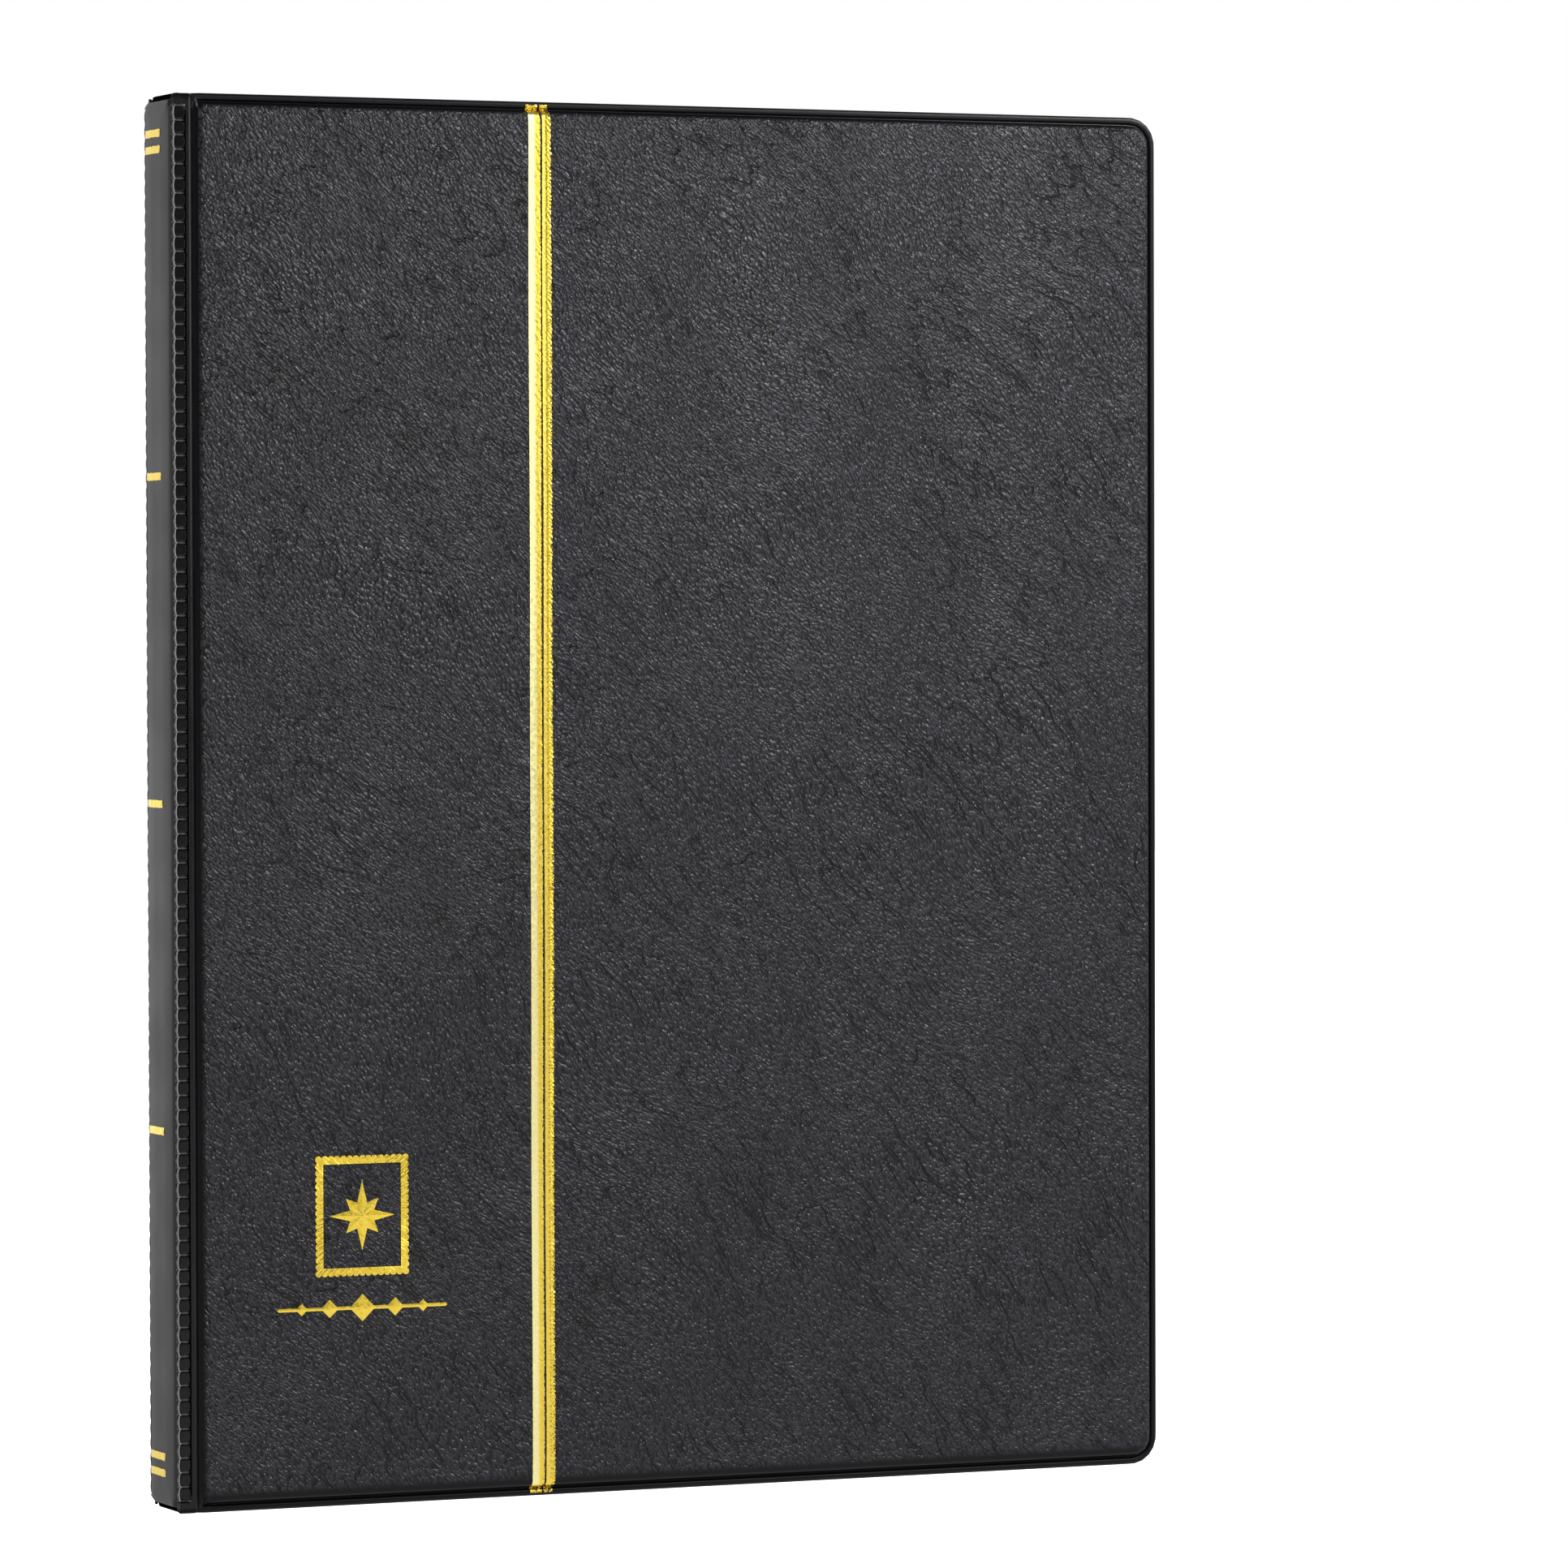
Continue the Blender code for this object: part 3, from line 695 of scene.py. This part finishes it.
def strip_depth(s, z):
    """Depth of the embossed strip, s across it from the spine and z up it: beads, arcs, rungs and ridge."""
    phase, in_row = bead_phase(z)
    reach_s, reach_z = BEAD_REACH
    bead = (np.abs(s - BEAD_CENTRE) / reach_s) ** 4 + (np.abs(phase) / reach_z) ** 4
    pillow = np.sqrt(np.clip(2.6 * (1 - bead), 0, 1)) * in_row
    top = BEAD_TOP - BEAD_TILT * (s - BEAD_CENTRE) / reach_s
    inside = s - strip_edge(z)
    arc = smooth_step(0.0, 0.08 * MM, inside) * smooth_step(0.34 * MM, 0.2 * MM, inside) * in_row
    rung = smooth_step(0.16 * MM, 0.04 * MM, BEAD_PITCH / 2 - np.abs(phase))
    rung = rung * smooth_step(2.1 * MM, 1.5 * MM, s) * in_row
    depth = FLOOR_DEPTH - (FLOOR_DEPTH - top) * pillow - ARC_RISE * arc - RUNG_RISE * rung
    raised = smooth_step(0.12 * MM, -0.12 * MM, ladder_distance(s, z))
    depth = depth * (1 - raised) + RIDGE_DEPTH * raised
    depth = depth + END_FALL * smooth_step(END_REACH, 0.0, np.minimum(z, HEIGHT - z)) ** 2
    depth = depth + VALLEY_DROP * smooth_step(*VALLEY_FALL, s) ** 1.3
    foot = smooth_step(0.04 * MM, -0.1 * MM, inside)
    return depth * (1 - foot) + FOOT_DEPTH * foot


def strip_rows():
    """Heights of the strip's rows of points: its two smooth ends, and the ladder's between them."""
    ladder = LADDER_FOOT + ((np.arange(BEAD_COUNT)[:, None] + BEAD_ROWS) * BEAD_PITCH).ravel()
    cap = np.linspace(CAP_MARGIN, LADDER_FOOT, CAP_ROWS)[:-1]
    return np.concatenate([cap, ladder, [HEIGHT - LADDER_FOOT], HEIGHT - cap[::-1]])


def painted_highlight_share(places):
    """Where the strip's painted highlights lie: on the arcs, less on the rungs, and in a dot by each rung's
    end.
    """
    s, z = places[:, 0] - STRIP_LOW[0], places[:, 2]
    phase, in_row = bead_phase(z)
    inside = s - strip_edge(z)
    arc = smooth_step(0.02 * MM, 0.1 * MM, inside) * smooth_step(0.38 * MM, 0.26 * MM, inside)
    rung = smooth_step(0.17 * MM, 0.05 * MM, BEAD_PITCH / 2 - np.abs(phase))
    rung = rung * smooth_step(2.1 * MM, 1.9 * MM, s)
    dot = np.exp(-(((s - 1.95 * MM) / (0.16 * MM)) ** 2))
    return np.maximum(arc, rung * (0.35 + 0.65 * dot)) * in_row


def make_hinge_strip(prefix, side, body, corner):
    """A beaded strip. corner is the radius of its two spine-side corners."""
    width = STRIP_HIGH[0] - STRIP_LOW[0] + 0.06 * MM
    edge = np.linspace(0, EDGE_WIDTH, EDGE_COLUMNS)[:-1]
    s = np.concatenate([edge, np.linspace(EDGE_WIDTH, width, REST_COLUMNS)])
    grid_s, grid_z = np.meshgrid(s, strip_rows(), indexing="xy")
    end = np.minimum(np.minimum(grid_z, HEIGHT - grid_z), corner)
    left = corner - np.sqrt(corner**2 - (corner - end) ** 2)
    grid_s = left + grid_s * (width - left) / width
    uv = np.stack([STRIP_LOW[0] + grid_s, grid_z], axis=-1)
    top = cover_points(side, uv, np.minimum(strip_depth(grid_s, grid_z), LOWEST_TOP))
    bottom = cover_points(side, uv, UNDERSIDE_DEPTH)
    piece = slab(f"{prefix}_beaded_strip", top, bottom, MATERIALS["hinge_vinyl"], 60)
    # The "thin" values mark the painted highlights, for the vinyl's pale grey.
    paint(piece, "thin", painted_highlight_share)
    return finish_piece(piece, body, [f"{prefix}_hinge_strip"])


def make_web(name, line, thickness):
    """A web of vinyl along a line of (x, y) in plan, nearly as tall as the album."""
    z = np.linspace(WEB_MARGIN, HEIGHT - WEB_MARGIN, WEB_ROWS)
    piece = ribbon(name, line, z, thickness, MATERIALS["hinge_vinyl"])
    return piece


def make_groove_web():
    """The skin over the front cover's hinge groove, from the strip's ridge into the valley."""
    s = np.linspace(2.7 * MM, 4.0 * MM, 27)
    depth = strip_depth(s, np.full_like(s, HEIGHT / 2)) + 0.02 * MM
    line = np.stack([STRIP_LOW[0] + s, -(OUTER_Y - depth)], axis=-1)
    piece = make_web("front_groove_web", line, 0.1 * MM)
    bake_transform(piece)


def make_fold_web(prefix, side):
    """The fold between the spine and a strip, from the spine's side to the strip's."""
    x = STRIP_LOW[0] + 0.8 * MM
    reach = np.linspace(-0.35 * MM, 0.3 * MM, 9)
    line = np.stack([np.full_like(reach, x), side * (OUTER_Y - 1.15 * MM) + reach], axis=-1)
    piece = make_web(f"{prefix}_fold_web", line, 0.3 * MM)
    start, end = (x, line[0, 1], HEIGHT / 2), (x, line[-1, 1], HEIGHT / 2)
    if side == FRONT:
        start, end = end, start
    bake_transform(piece)


# ----------------------------------------------------------------------- spine

# (distance in from the panel's outline, depth) in millimetres, from the spine's flat lip up its panel.
SPINE_STEPS = ((-1.0, 1.6), (-0.12, 1.22), (0.0, 1.15), (0.1, 0.56), (0.25, 0.33), (0.5, 0.22),
               (1.2, 0.13), (2.2, 0.06), (3.6, 0.0), (400.0, 0.0))
SPINE_LIP, SPINE_SIDE_LIP, PANEL_RADIUS = 0.95 * MM, 0.1 * MM, 1.7 * MM
SPINE_INSETS = (0.0, 0.08, 0.18, 0.3, 0.45, 0.6, 0.75, 0.85, 0.93, 1.0, 1.08, 1.18, 1.32, 1.5, 1.8,
                2.2, 2.8)
SPINE_COUNTS = (22, 260)
SPINE_WALL, SPINE_THICKNESS = 1.3 * MM, 0.6 * MM
SPINE_OUTLINE = ((SPINE_LOW[1], 0.0), (SPINE_HIGH[1], HEIGHT), (0.5 * MM, 0.5 * MM))
BAND_COUNT, BAND_ROWS, BAND_COLUMNS = 7, 5, 44
# How far short of the spine's back edge a band ends, and how ragged its outline and its near end are.
BAND_MARGIN, BAND_RAGGED, BAND_START_RAGGED = 0.35 * MM, 0.05 * MM, 0.1 * MM


def spine_depth(y, z):
    """How deep the spine's skin lies below its outer plane at (y, z)."""
    side = np.minimum(y - SPINE_LOW[1], SPINE_HIGH[1] - y)
    end = np.minimum(z, HEIGHT - z)
    inside = rounded_distance(side - SPINE_SIDE_LIP, end - SPINE_LIP, PANEL_RADIUS)
    steps = np.array(SPINE_STEPS) * MM
    depth = np.interp(inside, steps[:, 0], steps[:, 1])
    # The lip's own edge is rounded off.
    rim = smooth_step(0.15 * MM, 0.0, np.minimum(side, end))
    return depth + 0.25 * MM * rim * smooth_step(0.0, 0.5 * MM, -inside)


def spine_points(yz, depth):
    """(x, y, z) of points at (y, z) and a depth below the spine's outer plane."""
    x = SPINE_LOW[0] + np.broadcast_to(depth, yz.shape[:-1])
    return np.stack([x, yz[..., 0], yz[..., 1]], axis=-1)


def panel_share(places):
    """1 on the spine's raised panel, and 0 on its lip and inside."""
    return smooth_step(1.05 * MM, 0.75 * MM, places[:, 0] - SPINE_LOW[0])


def make_spine_skin():
    """The spine's skin: its flat lip, its raised panel, and the hollow behind that holds the board."""
    back = SPINE_HIGH[0] - SPINE_LOW[0]
    behind = ((0.0, back), (SPINE_WALL, back), (SPINE_WALL, SPINE_THICKNESS))
    piece = make_tray("spine_outer_skin", SPINE_OUTLINE, SPINE_INSETS, SPINE_COUNTS, spine_depth,
                      spine_points, behind, MATERIALS["spine_leatherette"])
    paint(piece, "raised", panel_share)
    return finish_piece(piece, "spine", ["spine_skin"])


def make_spine_band(number):
    """A gold band on the spine, with a slightly ragged outline, over the rounded back edge."""
    low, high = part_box(f"spine_band_{number}")
    draw = np.random.default_rng(40 + number)
    y = np.linspace(low[1], SPINE_HIGH[1] - BAND_MARGIN, BAND_COLUMNS)
    share = np.linspace(0, 1, BAND_ROWS)[:, None]
    foot = low[2] + BAND_RAGGED * draw.standard_normal(BAND_COLUMNS)
    head = high[2] + BAND_RAGGED * draw.standard_normal(BAND_COLUMNS)
    z = foot[None] * (1 - share) + head[None] * share
    grid_y = np.broadcast_to(y[None], z.shape).copy()
    grid_y[:, 0] += BAND_START_RAGGED * draw.standard_normal(BAND_ROWS)
    yz = np.stack([grid_y, z], axis=-1)
    depth = spine_depth(grid_y, z)
    top = spine_points(yz, depth - FOIL_LIFT - FOIL)
    bottom = spine_points(yz, depth + FOIL_LIFT)
    piece = slab(f"spine_gold_band_{number}", top, bottom, MATERIALS["gold_foil"])
    paint(piece, "wear", lambda p: 0.35 + 0.4 * smooth_step(low[1] + 1.6 * MM, low[1], p[:, 1]))
    return finish_piece(piece, "spine", [f"spine_band_{number}"])


# ------------------------------------------------------------------ front foil

EMBLEM_WEAR = 0.45
STRIPE_MARGIN, STRIPE_ROWS = 0.5 * MM, 1500
TOOTH, FRAME_BAND, TOOTH_PITCH, TOOTH_POINTS = 0.42 * MM, 1.35 * MM, 1.1 * MM, 10
STAR_TIPS, STAR_EDGE_POINTS = 8, 12
# Lengths of the star's long tips, its short tips and the corners between them, as parts of its radius.
LONG_TIP, SHORT_TIP, STAR_CORNER = 1.0, 0.7, 0.4
# Each lozenge's place to either side of the rule's middle, and half its size, in millimetres.
LOZENGES = ((0.0, 2.2), (5.6, 1.5), (10.4, 1.0))


def even_wear(places):
    return np.full(len(places), EMBLEM_WEAR)


def foil_sheets(uv, relief):
    """The foil's top and underside over the front skin at (x, z) points, standing relief proud of it."""
    depth = skin_depth(uv[..., 0], uv[..., 1])
    top = cover_points(FRONT, uv, depth - FOIL_LIFT - FOIL - relief)
    return top, cover_points(FRONT, uv, depth + FOIL_LIFT)


def finish_foil(piece, replaced, wear):
    paint(piece, "wear", wear)
    return finish_piece(piece, "front_cover", replaced)


def drape(name, uv, relief, replaced, wear=even_wear):
    """Foil over the front skin, from a grid of (x, z) points."""
    top, bottom = foil_sheets(uv, relief)
    return finish_foil(slab(name, top, bottom, MATERIALS["gold_foil"], 60), replaced, wear)


def drape_ring(name, uv, relief, replaced):
    """Foil over the front skin, from rings of (x, z) points, each closed on itself."""
    top, bottom = foil_sheets(uv, relief)
    rows, around = uv.shape[:2]
    points = np.concatenate([top.reshape(-1, 3), bottom[::-1].reshape(-1, 3)])
    faces = list(grid_faces(2 * rows, around, wrap=True))
    first, last = np.arange(around), (2 * rows - 1) * around + np.arange(around)
    faces += list(zip(last, np.roll(last, -1), np.roll(first, -1), first))
    return finish_foil(add_mesh(name, points, faces, MATERIALS["gold_foil"], 60), replaced, even_wear)


def middle_and_half(node):
    """The middle of a node's box in (x, z), and half its size."""
    low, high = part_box(node)
    middle = np.array([(low[0] + high[0]) / 2, (low[2] + high[2]) / 2])
    return middle, np.array([(high[0] - low[0]) / 2, (high[2] - low[2]) / 2])


def make_stripe(name, node, columns, rope, wear):
    """A stripe down the cover. rope is its right half's cord-like relief, and wear its two edges' wear,
    which also lays a painted pale highlight where it is low.
    """
    low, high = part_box(node)
    draw = np.random.default_rng(7 + columns)
    z = np.linspace(STRIPE_MARGIN, HEIGHT - STRIPE_MARGIN, STRIPE_ROWS)
    across = np.linspace(0, 1, columns)
    ragged_left = 0.015 * MM * draw.standard_normal(len(z))
    ragged_right = (0.02 + 0.05 * wear[1]) * MM * draw.standard_normal(len(z))
    left = low[0] + 0.04 * MM * np.sin(z * 90) + ragged_left
    right = high[0] + 0.04 * MM * np.sin(z * 70 + 1) + ragged_right
    u = left[:, None] + (right - left)[:, None] * across[None]
    grid_z = np.broadcast_to(z[:, None], u.shape)
    wander = 0.4 * np.sin(z * 830) + 0.35 * np.sin(z * 1310 + 2)
    turn = np.sin(((grid_z + 0.9 * (u - low[0])) / (0.72 * MM) + wander[:, None]) * 2 * math.pi)
    relief = rope * smooth_step(0.4, 0.6, across)[None] * (0.5 + 0.5 * turn)
    # The cord fades out towards the cover's lip.
    fade = smooth_step(1.6 * MM, 2.6 * MM, np.minimum(grid_z, HEIGHT - grid_z))

    # The foil's wear: its flecks, and where it is low, its painted pale highlight.
    def wear_and_highlight(places):
        share = (places[:, 0] - low[0]) / (high[0] - low[0])
        rim = smooth_step(2.0 * MM, 1.5 * MM, np.minimum(places[:, 2], HEIGHT - places[:, 2]))
        return wear[0] + (wear[1] - wear[0]) * smooth_step(0.35, 1.0, share) + rim

    return drape(name, np.stack([u, grid_z], axis=-1), relief * fade, [node], wear_and_highlight)


def make_emblem_frame():
    """The stamp outline: a band with round teeth along its outer edge."""
    centre, half = middle_and_half("emblem_frame")
    corners = [(-1, -1), (1, -1), (1, 1), (-1, 1)]
    outer, inner = [], []
    for (a, b), (c, d) in zip(corners, corners[1:] + corners[:1]):
        start, end = half * (a, b), half * (c, d)
        teeth = round(np.abs(end - start).sum() / TOOTH_PITCH)
        share = np.linspace(0, 1, teeth * TOOTH_POINTS, endpoint=False)
        bite = 1 - np.sqrt(1 - ((share * teeth) % 1 * 2 - 1) ** 2)
        inward = -np.array([(d - b) / 2, (a - c) / 2])
        side = start + share[:, None] * (end - start)
        outer.append(side + inward * (bite * TOOTH)[:, None])
        inner.append(side * (half - FRAME_BAND) / half)
    outer, inner = np.concatenate(outer), np.concatenate(inner)
    steps = np.linspace(0, 1, 5)[:, None, None]
    uv = centre + outer[None] * (1 - steps) + inner[None] * steps
    u, v = uv[..., 0], uv[..., 1]
    slant = (u + v) / (0.62 * MM) + 0.35 * np.sin(v * 2100) + 0.3 * np.sin(u * 3300)
    relief = 0.03 * MM * (1 + np.sin(slant * 2 * math.pi))
    return drape_ring("emblem_stamp_frame", uv, relief, ["emblem_frame"])


def make_star():
    """An eight-pointed star, which rises to its middle."""
    centre, half = middle_and_half("emblem_star")
    turn = np.arange(2 * STAR_TIPS * STAR_EDGE_POINTS) / STAR_EDGE_POINTS
    whole, part = turn.astype(int), turn % 1
    lengths = np.resize([LONG_TIP, STAR_CORNER, SHORT_TIP, STAR_CORNER], 2 * STAR_TIPS + 1)
    angle = math.pi / STAR_TIPS * np.arange(2 * STAR_TIPS + 1)
    corner = half[1] * lengths[:, None] * np.stack([np.sin(angle), np.cos(angle)], axis=-1)
    edge = corner[whole] * (1 - part)[:, None] + corner[whole + 1] * part[:, None]
    shares = np.linspace(1, 0.02, 9)
    uv = centre + shares[:, None, None] * edge[None]
    relief = 0.1 * MM * (1 - shares[:, None]) * np.ones(len(edge))[None]
    return drape_ring("emblem_foil_star", uv, relief, ["emblem_star"])


def make_rule():
    """The plain rule under the emblem, with its five lozenges."""
    centre, half = middle_and_half("emblem_rule")
    u = np.linspace(-half[0], half[0], 360)
    width = np.full_like(u, 0.28 * MM)
    for middle, reach in LOZENGES:
        width = np.maximum(width, reach * MM - np.abs(np.abs(u) - middle * MM))
    width = np.minimum(width, np.maximum(half[0] - np.abs(u), 0.02 * MM))
    across = np.linspace(-1, 1, 9)
    z = centre[1] + width[:, None] * across[None]
    uv = np.stack([np.broadcast_to((centre[0] + u)[:, None], z.shape), z], axis=-1)
    relief = 0.08 * MM * (1 - np.abs(across))[None] * np.minimum(width / MM, 1.0)[:, None]
    return drape("emblem_lozenge_rule", uv, relief, ["emblem_rule"])


# ----------------------------------------------------------------- page block

POCKET_ROWS = range(1, 7)
FILM, FILM_GAP, FILM_SLACK = 0.04 * MM, 0.02 * MM, 0.16 * MM
LINEN, LINEN_MARGIN = 0.12 * MM, 0.3 * MM
# The pages whose pocket strips are CAD nodes.
NODE_PAGES = {
    (1, FRONT): "first_page",
    (LEAF_COUNT // 2, BACK): "left_page",
    (LEAF_COUNT // 2 + 1, FRONT): "right_page",
}


def leaf_plane(number):
    """(y of a leaf's middle plane, thickness of its card)."""
    low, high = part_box(f"leaf_{number}")
    card = min(high[1] - low[1], 0.4 * MM)
    return (low[1] + high[1]) / 2, card


def pocket_nodes(number, side):
    """The CAD pocket strips of a page, if it has any."""
    page = NODE_PAGES.get((number, side))
    return [f"{page}_pocket_{row}" for row in POCKET_ROWS] if page else []


def make_pockets(number, side):
    """The six films of one page as one piece: welded at the foot and sides, a little slack at the lip."""
    middle, card = leaf_plane(number)
    face_y = middle + side * card / 2
    points, faces = [], []
    for row in POCKET_ROWS:
        low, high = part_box(f"first_page_pocket_{row}")
        u = np.linspace(low[0], high[0], 25)
        v = np.linspace(low[2], high[2], 9)
        grid_u, grid_v = np.meshgrid(u, v, indexing="xy")
        across = (grid_u - low[0]) / (high[0] - low[0])
        up = (grid_v - low[2]) / (high[2] - low[2])
        slack = np.sin(math.pi * across) ** 0.5 * up**1.5
        ripple = 0.5 + 0.5 * np.sin(across * 9 + row * 2.1 + number)
        rise = FILM_GAP + FILM_SLACK * slack * (0.6 + 0.4 * ripple)
        for lift in (rise + FILM, rise):
            points.append(np.stack([grid_u, face_y + side * lift, grid_v], axis=-1).reshape(-1, 3))
        faces.append(slab_faces(grid_u.shape, (row - 1) * 2 * grid_u.size))
    name = f"leaf_{number}_{'front' if side == FRONT else 'back'}_pockets"
    piece = add_mesh(name, np.concatenate(points), np.concatenate(faces), MATERIALS["pocket_film"])
    return finish_piece(piece, f"leaf_{number}", pocket_nodes(number, side))


def make_linen_hinge(number):
    """The cloth hinge from the binding core to a leaf's inner edge."""
    middle, _ = leaf_plane(number)
    near = math.copysign(0.55 * CORE_RADIUS, middle)
    start = np.array([CORE_X - 0.45 * CORE_RADIUS, near])
    leave = np.array([CORE_X + 0.9 * CORE_RADIUS, near])
    bend = np.array([CORE_X + 0.8 * CORE_RADIUS, middle])
    end = np.array([LEAF_LOW[0] + 0.08 * MM, middle])
    t = np.linspace(0, 1, 25)[:, None]
    line = (1 - t) ** 3 * start + 3 * t * (1 - t) ** 2 * leave + 3 * t**2 * (1 - t) * bend + t**3 * end
    z = np.linspace(LEAF_LOW[2] + LINEN_MARGIN, LEAF_HIGH[2] - LINEN_MARGIN, 50)
    piece = ribbon(f"leaf_{number}_linen_hinge", line, z, LINEN, MATERIALS["binding_linen"])
    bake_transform(piece)
    return piece


# ------------------------------------------------------------- all the pieces


def dress_frame():
    """Gives each CAD node that stays in view its procedural material."""
    for part in frame["record"]["subparts"]:
        node = frame["nodes"][part["node"]]
        node.data.materials.clear()
        node.data.materials.append(MATERIALS[part["material_slot"]])


def make_pieces():
    """Every piece of the album, skins first, then foil, the page block and the webs."""
    make_cover_skin("front", FRONT, "front_cover")
    make_cover_skin("back", BACK, ROOT)
    make_hinge_strip("front", FRONT, "front_hinge", 0.9 * MM)
    make_hinge_strip("back", BACK, ROOT, 3.0 * MM)
    make_spine_skin()
    for number in range(1, BAND_COUNT + 1):
        make_spine_band(number)
    make_stripe("front_gold_stripe_wide", "front_stripe_wide", 9, 0.0, (0.0, 0.55))
    make_stripe("front_gold_stripe_narrow", "front_stripe_narrow", 12, 0.1 * MM, (0.25, 0.95))
    make_emblem_frame()
    make_star()
    make_rule()
    for number in range(1, LEAF_COUNT + 1):
        make_pockets(number, FRONT)
        make_pockets(number, BACK)
        make_linen_hinge(number)
    make_webs()


def make_webs():
    """The three webs: the front cover's groove, and the spine's two folds."""
    make_groove_web()
    make_fold_web("front", FRONT)
    make_fold_web("back", BACK)


# ------------------------------------------------------------ stage and camera

# Softboxes: azimuth and elevation in degrees, distance, (width, height) and radiance.
SOFTBOXES = {
    "front_sheet": (42, 26, 0.55, (0.45, 0.45), 2.9),
    "key_softbox": (54, 42, 0.5, (0.16, 0.16), 22.0),
    "left_strip": (-76, 14, 0.8, (0.1, 0.6), 6.0),
    "spine_sheet": (-155, 14, 0.7, (0.5, 0.55), 0.8),
    "back_sheet": (140, 22, 0.9, (0.75, 0.8), 1.2),
    "back_key": (-118, 36, 1.0, (0.35, 0.35), 5.0),
}
FLOOR_HALF = 3.0


def direction(azimuth, elevation):
    """Which way something lies, in degrees round from the front and up from level."""
    a, e = math.radians(azimuth), math.radians(elevation)
    return Vector((math.sin(a) * math.cos(e), -math.cos(a) * math.cos(e), math.sin(e)))


def add_softbox(name, azimuth, elevation, distance, size, radiance):
    """A rectangular light that faces the album's middle."""
    data = bpy.data.lights.new(name, "AREA")
    data.shape = "RECTANGLE"
    data.size, data.size_y = size
    data.energy = radiance * math.pi * size[0] * size[1]
    light = bpy.data.objects.new(name, data)
    away = direction(azimuth, elevation)
    light.location = (LOW + HIGH) / 2 + away * distance
    light.rotation_euler = away.to_track_quat("Z", "Y").to_euler()
    add_to_scene(light)


def make_floor(name, material, seen):
    """A large plane under the album. The camera sees it, or its light falls on the album, but not both."""
    low, high = -FLOOR_HALF, FLOOR_HALF
    mesh = bpy.data.meshes.new(name)
    mesh.from_pydata([(low, low, 0), (high, low, 0), (high, high, 0), (low, high, 0)], [], [(0, 1, 2, 3)])
    mesh.materials.append(material)
    floor = bpy.data.objects.new(name, mesh)
    floor.location.z = LOW.z
    add_to_scene(floor)
    floor.visible_camera = seen
    floor.visible_glossy = floor.visible_diffuse = not seen


def make_stage():
    """The white floor and its hidden twin, which gives the light that a white table sends up."""
    make_floor("floor", make_table("pale_floor", (0.86, 0.88), 0.6, 0.85), True)
    make_floor("floor_bounce", make_table("floor_bounce", (0.5, 0.52), 0.8, 0.8), False)
    bpy.context.scene.world = make_world()
    for name, settings in SOFTBOXES.items():
        add_softbox(name, *settings)


def make_world():
    """White where the camera sees it, and a dim even light on everything else."""
    world = bpy.data.worlds.new("studio")
    world.use_nodes = True
    tree = world.node_tree
    seen = tree.nodes.new("ShaderNodeLightPath").outputs["Is Camera Ray"]
    strength = tree.nodes.new("ShaderNodeMapRange")
    strength.inputs["To Min"].default_value = 0.25
    strength.inputs["To Max"].default_value = 1.0
    background = tree.nodes["Background"]
    background.inputs["Color"].default_value = (1.0, 1.0, 1.0, 1.0)
    tree.links.new(seen, strength.inputs["Value"])
    tree.links.new(strength.outputs["Result"], background.inputs["Strength"])
    return world


# Angles in degrees, and the target's place over the front cover as parts of the album's height.
CAMERA_AZIMUTH, CAMERA_ELEVATION = -24.0, 1.25
CAMERA_DISTANCE_IN_HEIGHTS = 5.586
CAMERA_LENS, CAMERA_SENSOR = 176.5, 36.0
CAMERA_ROLL = 0.154
TARGET_ACROSS, TARGET_UP = 0.4689, 0.5094


def make_camera():
    """Looks at a point on the front cover from the front left."""
    data = bpy.data.cameras.new("camera")
    data.lens = CAMERA_LENS
    data.sensor_width = CAMERA_SENSOR
    data.clip_start = 0.01
    camera = bpy.data.objects.new("camera", data)
    away = direction(CAMERA_AZIMUTH, CAMERA_ELEVATION)
    target = Vector((SPINE_LOW[0] + TARGET_ACROSS * HEIGHT, -OUTER_Y, TARGET_UP * HEIGHT))
    camera.location = target + away * CAMERA_DISTANCE_IN_HEIGHTS * HEIGHT
    roll = Matrix.Rotation(-math.radians(CAMERA_ROLL), 4, "Z")
    facing = away.to_track_quat("Z", "Y").to_matrix().to_4x4() @ roll
    camera.rotation_euler = facing.to_euler()
    add_to_scene(camera)
    bpy.context.scene.camera = camera


bpy.context.scene.view_settings.view_transform = "Standard"
dress_frame()
make_pieces()
make_stage()
make_camera()
